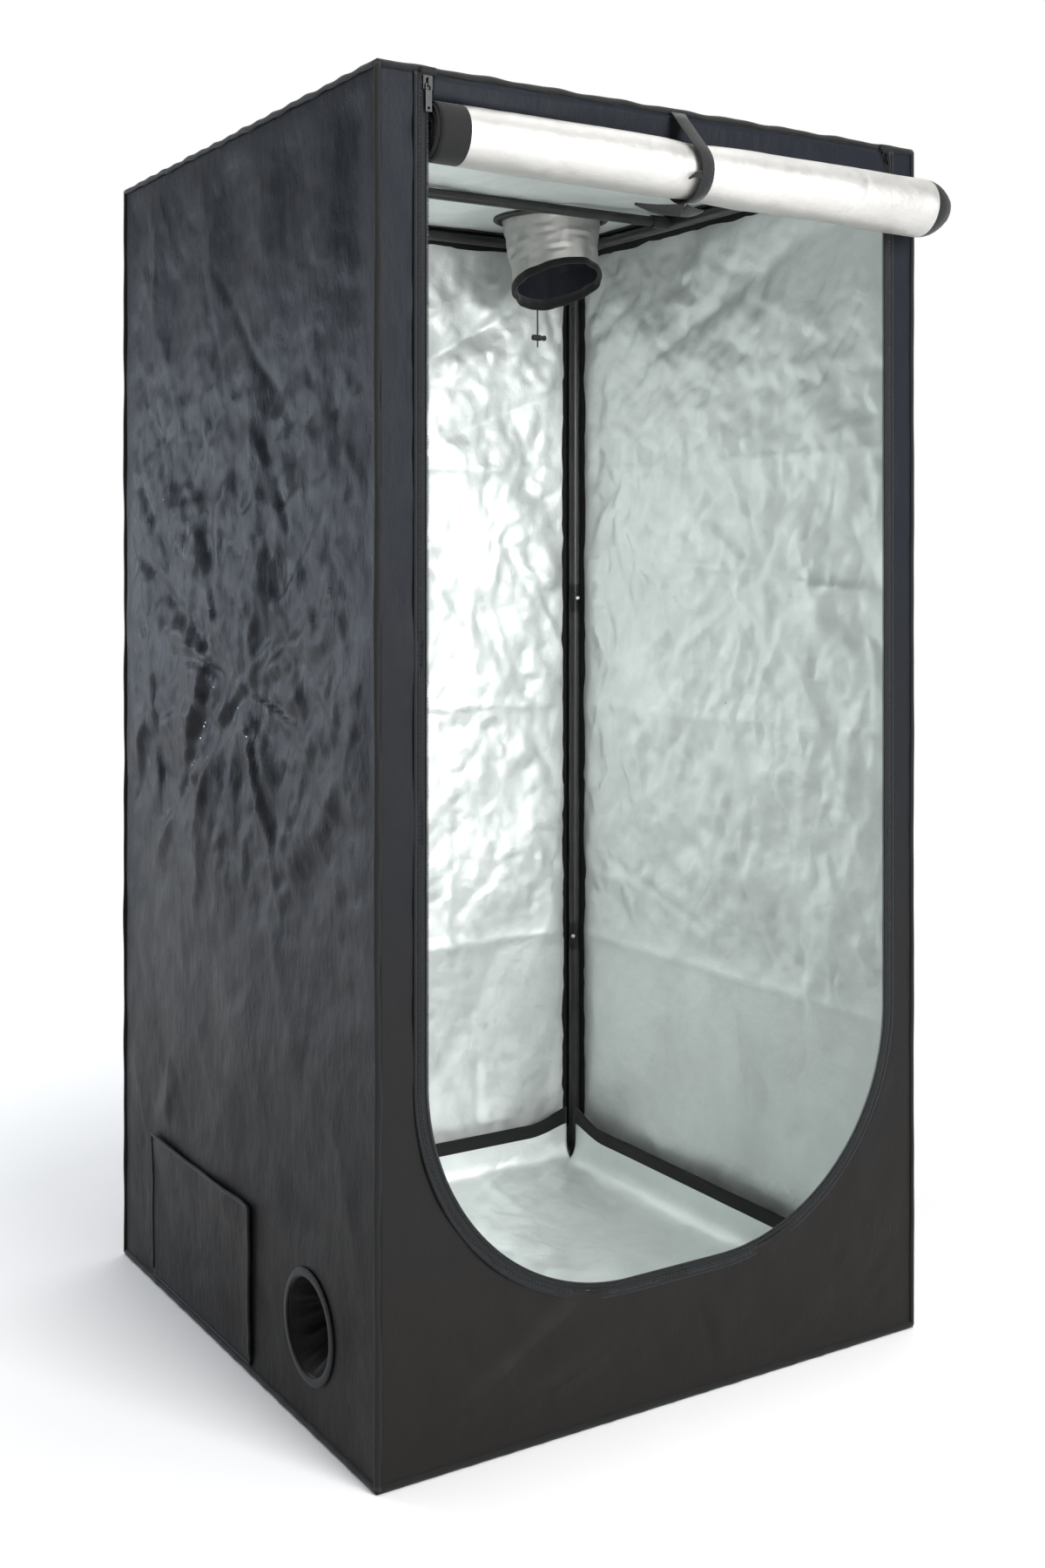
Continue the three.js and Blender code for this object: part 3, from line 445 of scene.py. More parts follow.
lock_barrel_piece = lock_barrel()
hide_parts("cord_lock_body")
stem_radius = 3.3 * MM
head_radius = (plunger_high[2] - plunger_low[2]) / 2
plunger_length = plunger_high[0] - plunger_low[0]
HEAD_LENGTH = 5.5 * MM
head_foot = plunger_length - HEAD_LENGTH
plunger_profile = [(0.0004, 0), (stem_radius * 0.9, 0), (stem_radius, 0.5 * MM), (stem_radius, head_foot),
                   (head_radius * 0.9, head_foot), (head_radius, head_foot + 0.6 * MM),
                   (head_radius, head_foot + 3.4 * MM), (head_radius * 0.85, head_foot + 4.8 * MM),
                   (head_radius * 0.5, plunger_length - 0.2 * MM), (0.0004, plunger_length)]
plunger = make_mesh("cord_lock_button", *revolve(plunger_profile,
                                                 (plunger_low[0], lock_centre[1], lock_centre[2]),
                                                 LOCK_AXIS, 32),
                    [PLASTIC], "corner_plastic", body="cord_plunger", sharp=40)
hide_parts("cord_lock_plunger")

cord_centre = (cord_low + cord_high) / 2
cord_line = np.array([(cord_centre[0], cord_centre[1],
                       cord_high[2] - CORD_LENGTH * k / 15) for k in range(16)])
cord_data = bpy.data.curves.new("sleeve_drawcord_braid", "CURVE")
cord_data.dimensions = "3D"
cord_data.bevel_depth = CORD_RADIUS
cord_data.bevel_resolution = 4
cord_data.use_fill_caps = True
spline = cord_data.splines.new("POLY")
spline.points.add(len(cord_line) - 1)
for point, place in zip(spline.points, cord_line):
    point.co = (*place, 1)
cord_data.materials.append(BRAID)
drawcord = bpy.data.objects.new("sleeve_drawcord_braid", cord_data)
bpy.context.scene.collection.objects.link(drawcord)
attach(drawcord, "tent")
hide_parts("sleeve_drawcord")




# ---------------------------------------------------------------- cloth relief
def smooth(value, start, end):
    t = np.clip((value - start) / (end - start), 0, 1)
    return t * t * (3 - 2 * t)


def lattice(u_low, u_high, v_low, v_high, step):
    across = max(2, round((u_high - u_low) / step) + 1)
    along = max(2, round((v_high - v_low) / step) + 1)
    return np.meshgrid(np.linspace(u_low, u_high, across), np.linspace(v_low, v_high, along), indexing="ij")


def facets(u, v, spacing, seed):
    """Random flat facets about `spacing` across, heights from -1 to 1, over a regular lattice."""
    rng = np.random.default_rng(seed)
    start = np.array([u[0, 0], v[0, 0]])
    step = np.array([u[1, 0] - u[0, 0], v[0, 1] - v[0, 0]])
    across = int((u[-1, 0] - start[0]) / spacing) + 4
    along = int((v[0, -1] - start[1]) / spacing) + 4
    cells = np.stack(np.meshgrid(np.arange(across), np.arange(along), indexing="ij"), -1).reshape(-1, 2)
    points = (cells - 1 + rng.uniform(-0.45, 0.45, cells.shape)) * spacing
    heights = rng.uniform(-1, 1, len(points))
    triangles = delaunay_2d_cdt([Vector(p) for p in points], [], [], 0, 1e-9)[2]
    relief = np.zeros(u.shape)
    places = points / step
    for triangle in triangles:
        (ax, ay), (bx, by), (cx, cy) = places[triangle]
        i0, i1 = max(0, math.ceil(min(ax, bx, cx))), min(u.shape[0] - 1, math.floor(max(ax, bx, cx)))
        j0, j1 = max(0, math.ceil(min(ay, by, cy))), min(u.shape[1] - 1, math.floor(max(ay, by, cy)))
        area = (bx - ax) * (cy - ay) - (cx - ax) * (by - ay)
        if i1 < i0 or j1 < j0 or abs(area) < 1e-9:
            continue
        x, y = np.meshgrid(np.arange(i0, i1 + 1), np.arange(j0, j1 + 1), indexing="ij")
        b = ((x - ax) * (cy - ay) - (cx - ax) * (y - ay)) / area
        c = ((bx - ax) * (y - ay) - (x - ax) * (by - ay)) / area
        inside = (b >= -1e-6) & (c >= -1e-6) & (b + c <= 1 + 1e-6)
        ha, hb, hc = heights[triangle]
        part = relief[i0:i1 + 1, j0:j1 + 1]
        part[inside] = (ha + (hb - ha) * b + (hc - ha) * c)[inside]
    return relief


def crumple(u, v, seed, broad, medium, fine):
    return (broad * facets(u, v, 0.13, seed) + medium * facets(u, v, 0.055, seed + 1)
            + fine * facets(u, v, 0.026, seed + 2))


def crease(u, v, start, end, width, height):
    """A straight fold line that fades at both ends."""
    du, dv = end[0] - start[0], end[1] - start[1]
    share = ((u - start[0]) * du + (v - start[1]) * dv) / (du * du + dv * dv)
    away = np.abs((u - start[0]) * dv - (v - start[1]) * du) / math.hypot(du, dv)
    return height * np.clip(1 - (2 * share - 1) ** 2, 0, None) * np.clip(1 - away / width, 0, None) ** 1.4


def scattered_creases(u, v, seed, count, slope, spread, longest, height):
    rng = np.random.default_rng(seed)
    relief = np.zeros(u.shape)
    for _ in range(count):
        centre = np.array([rng.uniform(u.min(), u.max()), rng.uniform(v.min(), v.max())])
        angle = math.radians(rng.normal(slope, spread))
        reach = np.array([math.cos(angle), math.sin(angle)]) * rng.uniform(0.3, 1.0) * longest / 2
        sign = rng.choice([-1.0, 1.0])
        relief += crease(u, v, centre - reach, centre + reach, rng.uniform(0.012, 0.03),
                         sign * height * rng.uniform(0.4, 1.0))
    return relief


def starburst(u, v, centre, seed, reach):
    """Creases that run out from a pinched place: facets drawn in (angle, distance)."""
    far = np.hypot(u - centre[0], (v - centre[1]) * 0.8)
    relief = np.zeros(u.shape)
    turn_to_length = 0.34
    for turn in (0, math.pi):
        angle = (np.arctan2(v - centre[1], u - centre[0]) + turn) % (2 * math.pi)
        a, r = lattice(0, 2 * math.pi * turn_to_length, 0, 3 * reach, 0.008)
        drawn = 0.65 * facets(a * 1.6, r * 0.55, 0.10, seed) + 0.35 * facets(a * 2.6, r * 0.9, 0.09, seed + 1)
        x = np.clip(angle * turn_to_length / 0.008, 0, a.shape[0] - 2)
        y = np.clip(far / 0.008, 0, a.shape[1] - 2)
        i, j = x.astype(int), y.astype(int)
        fx, fy = x - i, y - j
        value = ((drawn[i, j] * (1 - fx) + drawn[i + 1, j] * fx) * (1 - fy)
                 + (drawn[i, j + 1] * (1 - fx) + drawn[i + 1, j + 1] * fx) * fy)
        relief += value * (0.5 - 0.5 * np.cos(angle))
    return relief * np.exp(-(far / reach) ** 2) * smooth(far, 0, reach * 0.45)


def packing_folds(u, v, levels, height, seed):
    """The level lines where the cloth was folded in its box."""
    wander = 4 * MM * facets(u, v, 0.12, seed)
    relief = np.zeros(u.shape)
    for level in levels:
        relief += height * np.exp(-np.abs(v + wander - level) / (11 * MM))
    return relief


def round_hole(centre, radius):
    return lambda u, v: np.hypot(u - centre[0], v - centre[1]) - radius


def square_hole(left, right, bottom, top, corner=0.012):
    def distance(u, v):
        x = np.abs(u - (left + right) / 2) - ((right - left) / 2 - corner)
        y = np.abs(v - (bottom + top) / 2) - ((top - bottom) / 2 - corner)
        return np.hypot(np.maximum(x, 0), np.maximum(y, 0)) + np.minimum(np.maximum(x, y), 0) - corner
    return distance


def sheet(name, u, v, front, back, looks, slot, holes=(), keep=None, cell_looks=None, body="tent"):
    """A double layer over a lattice: front points, back points and a closed edge.

    Cells whose centres fall inside a hole are left out.
    """
    count = u.size
    index = np.arange(count).reshape(u.shape)
    quads = np.stack([index[:-1, :-1], index[1:, :-1], index[1:, 1:], index[:-1, 1:]], -1).reshape(-1, 4)
    kept = np.ones(len(quads), bool) if keep is None else keep.ravel()
    cu = u.ravel()[quads].mean(1)
    cv = v.ravel()[quads].mean(1)
    for hole in holes:
        kept = kept & (hole(cu, cv) > 0)
    front_looks, back_looks, edge_look = cell_looks if cell_looks is not None else (0, 1, 0)
    front_looks = np.broadcast_to(front_looks, len(quads))[kept]
    back_looks = np.broadcast_to(back_looks, len(quads))[kept]
    quads = quads[kept]
    edges = np.stack([quads, np.roll(quads, -1, axis=1)], -1).reshape(-1, 2)
    forward = edges[:, 0].astype(np.int64) * count + edges[:, 1]
    backward = edges[:, 1].astype(np.int64) * count + edges[:, 0]
    rim = edges[~np.isin(forward, backward)]
    rim = np.stack([rim[:, 1], rim[:, 0], rim[:, 0] + count, rim[:, 1] + count], -1)
    faces = np.concatenate([quads, quads[:, ::-1] + count, rim])
    face_looks = np.concatenate([front_looks, back_looks, np.full(len(rim), edge_look)])
    used, faces = np.unique(faces, return_inverse=True)
    points = np.concatenate([front.reshape(-1, 3), back.reshape(-1, 3)])[used]
    uv = np.stack([u.ravel(), v.ravel()], -1)
    uv = np.concatenate([uv, uv])[used]
    return make_mesh(name, points, [faces.reshape(-1, 4)], looks, slot, face_looks, uv, body)


def snapped(u, v, holes, step):
    """The lattice with the points nearest each hole moved onto its outline."""
    u, v = u.copy(), v.copy()
    for hole in holes:
        gap = hole(u, v)
        du = (hole(u + MM, v) - hole(u - MM, v)) / (2 * MM)
        dv = (hole(u, v + MM) - hole(u, v - MM)) / (2 * MM)
        near = np.abs(gap) < 0.72 * step
        u -= np.where(near, gap * du, 0)
        v -= np.where(near, gap * dv, 0)
    return u, v


PANEL_AXES = {0: (1, 2), 1: (0, 2), 2: (0, 1)}


def panel(name, node, axis, side, relief, holes=(), step=CLOTH_GRID, band=0.030, slot="shell_cloth", seed=3):
    """One flat side of the shell, dark outside and silver inside, pushed outward by a relief."""
    along_u, along_v = PANEL_AXES[axis]
    lowest, highest = low(node), high(node)
    u, v = lattice(lowest[along_u], highest[along_u], lowest[along_v], highest[along_v], step)
    edge = np.minimum(np.minimum(u - u.min(), u.max() - u), np.minimum(v - v.min(), v.max() - v))
    push = relief(u, v) * smooth(edge, 0.008, 0.07) * side
    u, v = snapped(u, v, holes, step)
    ragged = 3.0 * MM * facets(u, v, 0.025, seed) * np.exp(-((edge - band) / (9 * MM)) ** 2)
    u = u + ragged
    v = v + ragged
    plane = (lowest[axis] + highest[axis]) / 2
    layers = []
    for face in (side, -side):
        points = np.empty(u.shape + (3,))
        points[..., along_u], points[..., along_v] = u, v
        points[..., axis] = plane + push + face * CLOTH_THICKNESS / 2
        layers.append(points)
    cell_edge = np.minimum(edge[:-1, :-1], edge[1:, 1:]).ravel()
    back = np.where(cell_edge < band - step / 2, 2, 1)
    return sheet(name, u, v, *layers, [SHELL, SILVER, TAPE], slot, holes, None, (0, back, 2))


# ---------------------------------------------------------------- the shell's sides
wall_low, wall_high = low("left_wall"), high("right_wall")
front_y, back_y = wall_low[1], wall_high[1]
left_x, right_x = wall_low[0], wall_high[0]
top_z = high("ceiling")[2]

flap_low, flap_high = low("vent_flap"), high("vent_flap")
net_low, net_high = low("vent_mesh"), high("vent_mesh")
NET_OVERLAP = 0.012
port_centre = middle("side_sleeve")[1:] * [1, 0] + [0, 0.125]
PORT_HOLE = 0.061
sleeve_top = (0.245, 0.240)
CEILING_HOLE = 0.0785
FOLD_LEVELS = (0.40, 0.80, 1.20)


def calm_near(u, v, low_corner, high_corner, margin=0.05):
    """Nearly 0 over a fitting sewn on the cloth, 1 beyond it."""
    x = np.maximum(low_corner[0] - u, u - high_corner[0])
    y = np.maximum(low_corner[1] - v, v - high_corner[1])
    return 0.06 + 0.94 * smooth(np.hypot(np.maximum(x, 0), np.maximum(y, 0)), 0.005, margin)


def left_relief(u, v):
    crushed = smooth(v, 0.45, 0.80) * (1 - 0.75 * smooth(v, 1.12, 1.42))
    calm = calm_near(u, v, flap_low[1:], flap_high[1:])
    calm = calm * calm_near(u, v, port_centre - 0.07, port_centre + 0.07)
    relief = crumple(u, v, 11, 6.0 * MM, 1.6 * MM, 0.5 * MM)
    relief += crushed * (crumple(u, v, 21, 0.0, 5.0 * MM, 3.4 * MM) + 1.5 * MM * facets(u, v, 0.014, 25))
    relief += 11 * MM * starburst(u, v, (-0.02, 0.88), 31, 0.30)
    relief += crease(u, v, (0.0, 0.90), (0.14, 0.62), 0.026, 9 * MM)
    relief += crease(u, v, (-0.03, 0.88), (-0.15, 0.58), 0.02, 7 * MM)
    relief += crease(u, v, (0.03, 0.93), (0.19, 0.70), 0.022, -8 * MM)
    relief += scattered_creases(u, v, 41, 30, 62, 16, 0.5, 5.0 * MM) * (0.3 + 0.7 * crushed)
    relief += scattered_creases(u, v, 43, 26, 118, 14, 0.5, 4.6 * MM) * (0.3 + 0.7 * crushed)
    folds = 3.2 * MM * np.sin(u * 34 + 1.5 * np.sin(v * 3)) * smooth(v, 1.18, 1.50)
    return (relief + folds) * calm + packing_folds(u, v, FOLD_LEVELS[1:2], 1.2 * MM, 5)


def right_relief(u, v):
    upper = smooth(v, 0.34, 0.50)
    relief = crumple(u, v, 51, 6.0 * MM, 2.0 * MM, 0.6 * MM)
    relief += upper * (crumple(u, v, 61, 0.0, 4.6 * MM, 3.0 * MM) + 1.3 * MM * facets(u, v, 0.014, 65))
    relief += 9 * MM * starburst(u, v, (-0.1, 1.02), 71, 0.40)
    relief += scattered_creases(u, v, 81, 44, 55, 18, 0.45, 4.6 * MM) * (0.25 + 0.75 * upper)
    relief += scattered_creases(u, v, 83, 22, 125, 18, 0.35, 4.0 * MM) * upper
    relief += crease(u, v, (0.40, 1.30), (-0.30, 1.56), 0.03, 7 * MM)
    return relief + packing_folds(u, v, FOLD_LEVELS, -4.0 * MM, 6)


def back_relief(u, v):
    upper = smooth(v, 0.34, 0.50)
    relief = crumple(u, v, 91, 6.0 * MM, 1.6 * MM, 0.5 * MM)
    relief += upper * (crumple(u, v, 101, 0.0, 3.2 * MM, 2.4 * MM) + 1.1 * MM * facets(u, v, 0.014, 105))
    relief += 6 * MM * starburst(u, v, (0.20, 1.05), 111, 0.36)
    relief += scattered_creases(u, v, 121, 30, 115, 16, 0.5, 3.6 * MM)
    relief += scattered_creases(u, v, 123, 18, 60, 16, 0.4, 3.4 * MM) * upper
    relief += crease(u, v, (-0.05, 1.28), (0.36, 1.52), 0.035, 11 * MM)
    relief += crease(u, v, (0.02, 1.20), (0.38, 1.34), 0.03, 6 * MM)
    return relief + packing_folds(u, v, FOLD_LEVELS, -4.0 * MM, 7)


def front_relief(u, v):
    relief = crumple(u, v, 131, 3.4 * MM, 2.4 * MM, 1.5 * MM)
    relief += crease(u, v, (-0.36, 0.03), (-0.06, 0.20), 0.026, 9 * MM)
    relief += crease(u, v, (-0.30, 0.02), (-0.02, 0.12), 0.024, 6 * MM)
    return relief + scattered_creases(u, v, 141, 30, 30, 30, 0.3, 4.0 * MM)


def ceiling_relief(u, v):
    away = np.hypot(u - sleeve_top[0], v - sleeve_top[1])
    relief = crumple(u, v, 151, 3.0 * MM, 1.4 * MM, 0.6 * MM) - 4 * MM
    relief += scattered_creases(u, v, 161, 16, 45, 50, 0.4, 2.0 * MM)
    return relief * (0.05 + 0.95 * smooth(away, 0.10, 0.17)) * smooth(right_x - np.abs(u), 0.045, 0.13)


def base_relief(u, v):
    return 0.3 * MM * facets(u, v, 0.08, 171)


zip_low, zip_high = low("door_zip_tape"), high("door_zip_tape")
TAPE_WIDTH = 0.013
CLOTH_BACK_FROM_TEETH = 0.007
CORNER_RADIUS = 0.280
teeth_left, teeth_right = zip_low[0] + TAPE_WIDTH + 1.5 * MM, zip_high[0] - TAPE_WIDTH - 1.5 * MM
teeth_sill = zip_low[2] + TAPE_WIDTH + 1.5 * MM
TEETH_TOP = 1.5924


def u_outline(grow):
    """Signed distance to the door's opening, a U that runs out at the top."""
    left, right, sill = teeth_left - grow, teeth_right + grow, teeth_sill - grow
    radius = CORNER_RADIUS + grow

    def distance(u, v):
        x = np.abs(u - (left + right) / 2) - ((right - left) / 2 - radius)
        y = np.maximum(sill + radius - v, 0)
        return np.hypot(np.maximum(x, 0), y) - radius

    def with_top(u, v):
        return np.maximum(distance(u, v), v - TEETH_TOP)
    return with_top


def port_hole(u, v):
    return round_hole(port_centre, PORT_HOLE)(u, v)


window = (net_low[1] + NET_OVERLAP, net_high[1] - NET_OVERLAP, net_low[2] + NET_OVERLAP,
          net_high[2] - NET_OVERLAP)
shell_panels = [
    ("left_wall_cloth", "left_wall", 0, -1, left_relief, [port_hole, square_hole(*window)]),
    ("right_wall_cloth", "right_wall", 0, 1, right_relief, []),
    ("back_wall_cloth", "back_wall", 1, 1, back_relief, []),
    ("front_panel_cloth", "front_panel", 1, -1, front_relief, [u_outline(CLOTH_BACK_FROM_TEETH)]),
    ("ceiling_cloth", "ceiling", 2, 1, ceiling_relief, [round_hole(sleeve_top, CEILING_HOLE)]),
    ("base_cloth", "base_sheet", 2, -1, base_relief, []),
]
OPENING_AREA = 0.716 * 1.431 - (4 - math.pi) / 2 * CORNER_RADIUS ** 2
SILL_PIECE, LEG_LENGTH = 0.455, 1.14
for seed, (name, node, axis, side, relief, holes) in enumerate(shell_panels):
    step = CLOTH_GRID if axis < 2 else 9 * MM
    cloth = panel(name, node, axis, side, relief, holes, step, seed=200 + seed)
    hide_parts(node)
    along_u, along_v = PANEL_AXES[axis]
    size = high(node) - low(node)
    flat, area = (size[along_u], size[along_v]), size[along_u] * size[along_v]
    if node == "front_panel":
        # sewn from a sill piece and the two legs beside the door, which are laid over it to cut them
        area -= OPENING_AREA
        flat = (SILL_PIECE + size[along_u] - (teeth_right - teeth_left), LEG_LENGTH)


# ---------------------------------------------------------------- bindings along the shell's edges
def wobble(count, seed, size):
    rng = np.random.default_rng(seed)
    t = np.linspace(0, 1, count)
    waves = [rng.normal(0, 1) * np.sin(2 * math.pi * k * t + rng.uniform(0, 6)) for k in (2, 5, 9, 17)]
    return size * sum(waves) / 3 * np.minimum(1, np.minimum(t, 1 - t) * 12)


def edge_binding(name, start, end, outward, seed, size=1.0 * MM):
    """Folded tape sewn over a seam: a soft flattened roll that wanders a little."""
    start, end = np.array(start, float), np.array(end, float)
    count = int(np.linalg.norm(end - start) / (8 * MM))
    t = np.linspace(0, 1, count)[:, None]
    out = np.array(outward, float) / np.linalg.norm(outward)
    along = (end - start) / np.linalg.norm(end - start)
    line = start + (end - start) * t + out * wobble(count, seed, size)[:, None]
    line = line + np.cross(out, along) * wobble(count, seed + 1, size)[:, None]
    swell = 1 + wobble(count, seed + 2, 0.16)
    points, faces = sweep(line, circle(4.4 * MM, 12, 0.72), up=out, sizes=swell)
    return make_mesh(name, points, faces, [TAPE], "black_webbing")


edge_inset = 1.5 * MM
x_edges = (left_x + edge_inset, right_x - edge_inset)
y_edges = (front_y + edge_inset, back_y - edge_inset)
z_edges = (wall_low[2] + 1.6 * MM, top_z - edge_inset)
binding_seed = 300
for x, side in zip(x_edges, ("left", "right")):
    for y, end in zip(y_edges, ("front", "back")):
        outward = (math.copysign(1, x), math.copysign(1, y), 0)
        edge_binding(f"post_binding_{end}_{side}", (x, y, z_edges[0]), (x, y, z_edges[1]), outward,
                     binding_seed)
        binding_seed += 5
for z, level in zip(z_edges, ("bottom", "top")):
    for x, side in zip(x_edges, ("left", "right")):
        outward = (math.copysign(1, x), 0, 0.6 if level == "top" else 0.01)
        edge_binding(f"{level}_binding_{side}", (x, y_edges[0], z), (x, y_edges[1], z), outward, binding_seed,
                     1.2 * MM if level == "top" else 0.15 * MM)
        binding_seed += 5
    for y, end in zip(y_edges, ("front", "back")):
        outward = (0, math.copysign(1, y), 0.6 if level == "top" else 0.01)
        edge_binding(f"{level}_binding_{end}", (x_edges[0], y, z), (x_edges[1], y, z), outward, binding_seed,
                     1.2 * MM if level == "top" else 0.15 * MM)
        binding_seed += 5


# ---------------------------------------------------------------- rolled-up door
ROLL_LEFT_RADIUS, ROLL_RIGHT_RADIUS = 0.0362, 0.038
ROLL_LEFT_INSET = 0.016
ROLL_RISE_TO_LEFT = 0.025
ROLL_HEART = 0.009
OVER_THE_TOP = math.radians(110)
DOOR_WIDTH, DOOR_LENGTH = 0.702, 1.43
DOOR_BORDER = 0.030
NOSE_LENGTH = 0.034
roll_low, roll_high = low("door_roll"), high("door_roll")
roll_right_z = roll_low[2] + ROLL_RIGHT_RADIUS
roll_ends = np.array([
    (roll_low[0] + 0.003, front_y + ROLL_LEFT_INSET, roll_right_z + ROLL_RISE_TO_LEFT),
    (roll_high[0], roll_low[1] + ROLL_RIGHT_RADIUS, roll_right_z),
])
door_top = np.array((front_y - 1.6 * MM, TEETH_TOP))
door_top_ends = (roll_low[0], 0.347)
strap_x = middle("door_strap")[0]


def roll_place(share):
    """Centre (y, z) and outer radius of the roll at a share of its length, pulled in under the strap."""
    centre = roll_ends[0] + (roll_ends[1] - roll_ends[0]) * share[..., None]
    radius = ROLL_LEFT_RADIUS + (ROLL_RIGHT_RADIUS - ROLL_LEFT_RADIUS) * share
    radius = radius - 3.0 * MM * np.exp(-((centre[..., 0] - strap_x) / 0.035) ** 2)
    nose = np.clip((centre[..., 0] - (roll_ends[1][0] - NOSE_LENGTH)) / NOSE_LENGTH, 0, 1)
    return centre, radius * (1 - 0.42 * nose ** 2)


def tangent(point, centre, radius, way):
    """The angle on a circle, from +Y toward +Z, where a line from a point touches it."""
    away = point - centre
    distance = np.hypot(away[..., 0], away[..., 1])
    angle = np.arctan2(away[..., 1], away[..., 0]) + way * np.arccos(np.clip(radius / distance, -1, 1))
    return angle, np.sqrt(np.maximum(distance ** 2 - radius ** 2, 0))


def door():
    rows, columns = 118, 216
    share = np.linspace(0, 1, rows)[:, None] * np.ones(columns)
    centre, radius = roll_place(share)
    start_angle, _ = tangent(door_top, centre[..., 1:], radius, -1)
    start_angle = start_angle + (OVER_THE_TOP - start_angle) * smooth(share, 0.6, 0.0)
    rim = centre[..., 1:] + radius[..., None] * np.stack([np.cos(start_angle), np.sin(start_angle)], -1)
    drop = np.hypot(*np.moveaxis(rim - door_top, -1, 0))
    length = np.linspace(0, 1, columns)[None, :] * DOOR_LENGTH * np.ones((rows, 1))
    turns = (DOOR_LENGTH - drop) / (math.pi * (radius + ROLL_HEART))
    pitch = (radius - ROLL_HEART) / turns
    wound = np.maximum(length - drop, 0)
    spin = (radius - np.sqrt(np.maximum(radius ** 2 - wound * pitch / math.pi,
                                        ROLL_HEART ** 2 * 0.5))) / pitch
    spin *= 2 * math.pi
    angle = start_angle - spin
    around = radius - pitch * spin / (2 * math.pi)
    noise_u, noise_v = np.meshgrid(np.linspace(0, DOOR_WIDTH, rows), np.linspace(0, DOOR_LENGTH, columns),
                                   indexing="ij")
    outer = np.exp(-spin / 2.4)
    crinkle = (1.4 * MM * facets(noise_u, noise_v, 0.06, 401) + 1.0 * MM * facets(noise_u, noise_v, 0.024,
                                                                                  402)
               + scattered_creases(noise_u, noise_v, 403, 60, 8, 20, 0.35, 1.5 * MM))
    squash = 1 + 0.035 * np.cos(2 * (angle + 1.2)) + 0.03 * np.sin(noise_u * 19 + 1) * np.cos(angle)
    under_pole = 2.5 * MM * np.maximum(np.sin(angle), 0) ** 2 * smooth(share, 0.7, 0.1)
    around = around * squash + crinkle * (0.12 + 0.88 * outer) - under_pole * outer
    y = centre[..., 1] + around * np.cos(angle)
    z = centre[..., 2] + around * np.sin(angle)
    hanging = np.clip(length / np.maximum(drop, 1e-6), 0, 1)
    flat_y = door_top[0] + (rim[..., 0] - door_top[0]) * hanging
    flat_z = door_top[1] + (rim[..., 1] - door_top[1]) * hanging
    on_flap = length < drop
    fold = 1.2 * MM * np.sin(noise_u * 40) * np.sin(math.pi * hanging)
    y = np.where(on_flap, flat_y - np.abs(fold), y)
    z = np.where(on_flap, flat_z, z)
    telescope = 3.5 * MM * np.sin(spin * 0.37 + 1) * np.minimum(spin / 6, 1)
    spread = smooth(length, 0.3 * drop, drop + 0.05)
    left = door_top_ends[0] + (roll_ends[0][0] - door_top_ends[0]) * spread
    right = door_top_ends[1] + (roll_ends[1][0] - door_top_ends[1]) * spread
    x = left + (right - left) * share + telescope
    silver = np.stack([x, y, z], -1)
    across = np.gradient(silver, axis=0)
    down = np.gradient(silver, axis=1)
    normal = np.cross(across, down)
    normal /= np.linalg.norm(normal, axis=-1)[..., None]
    dark = silver - normal * CLOTH_THICKNESS
    border = (noise_u < DOOR_BORDER) | (noise_u > DOOR_WIDTH - DOOR_BORDER * 1.2)
    border = (border | (noise_v > DOOR_LENGTH - 0.03))[:-1, :-1].ravel()
    looks = (np.zeros(border.shape, int), np.where(border, 2, 1), 2)
    # The roll's silver side uses the darker copy of the laminate: painted shade with a warm painted
    # reflection.
    piece = sheet("door_roll_cloth", noise_u, noise_v, dark, silver, [SHELL, SILVER_SHADED_WARM, TAPE],
                  "silver_cloth",
                  cell_looks=looks)
    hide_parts("door_roll")
    return piece


door()


# ---------------------------------------------------------------- strap round the roll
STRAP_WIDTH, STRAP_THICKNESS = 0.022, 1.6 * MM
strap_high = high("door_strap")


def strap():
    share = np.array((strap_x - roll_ends[0][0]) / (roll_ends[1][0] - roll_ends[0][0]))
    centre, radius = roll_place(share)
    ring = float(radius) + 4.4 * MM
    front = np.array((front_y - 5.2 * MM, strap_high[2] + 3.5 * MM))
    behind = np.array((front_y + 1.0 * MM, strap_high[2] - 1 * MM))
    start, _ = tangent(front, centre[1:], ring, 1)
    finish, _ = tangent(behind, centre[1:], ring, -1)
    angle = np.linspace(start, finish + 2 * math.pi, 46)
    loop = np.stack([centre[1] + ring * np.cos(angle), centre[2] + ring * np.sin(angle)], -1)
    ends = [np.linspace(front, loop[0], 6)[:-1], np.linspace(loop[-1], behind, 8)[1:]]
    line = np.concatenate([ends[0], loop, ends[1]])
    along = np.linspace(0, 1, len(line))
    sway = 3.5 * MM * np.sin(along * math.pi) - 6 * MM * (1 - smooth(along, 0, 0.25))
    points = np.column_stack([strap_x + sway, line])
    return sweep(points, strip(STRAP_WIDTH, STRAP_THICKNESS)[:, ::-1], up=(1, 0, 0)), centre, ring


strap_shape, strap_centre, strap_ring = strap()
strap_piece = make_mesh("door_strap_webbing", *strap_shape, [WEBBING], "black_webbing")
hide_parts("door_strap")

tail_foot = np.array((strap_x, strap_centre[1] + 0.010, strap_centre[2] - strap_ring - 8 * MM))
tail_shapes = []
for reach, lift in ((-0.062, 0.004), (0.044, 0.006)):
    t = np.linspace(0, 1, 14)
    line = tail_foot + np.stack([reach * t, 0.016 * t, -2.5 * MM * np.sin(math.pi * t) + lift * t], -1)
    tail_shapes.append(sweep(line, strip(0.019, 2.2 * MM), up=(0, 1, 1), sizes=1.0 - 0.8 * t ** 1.5))
make_mesh("door_strap_tails", *joined(tail_shapes), [WEBBING], "black_webbing")

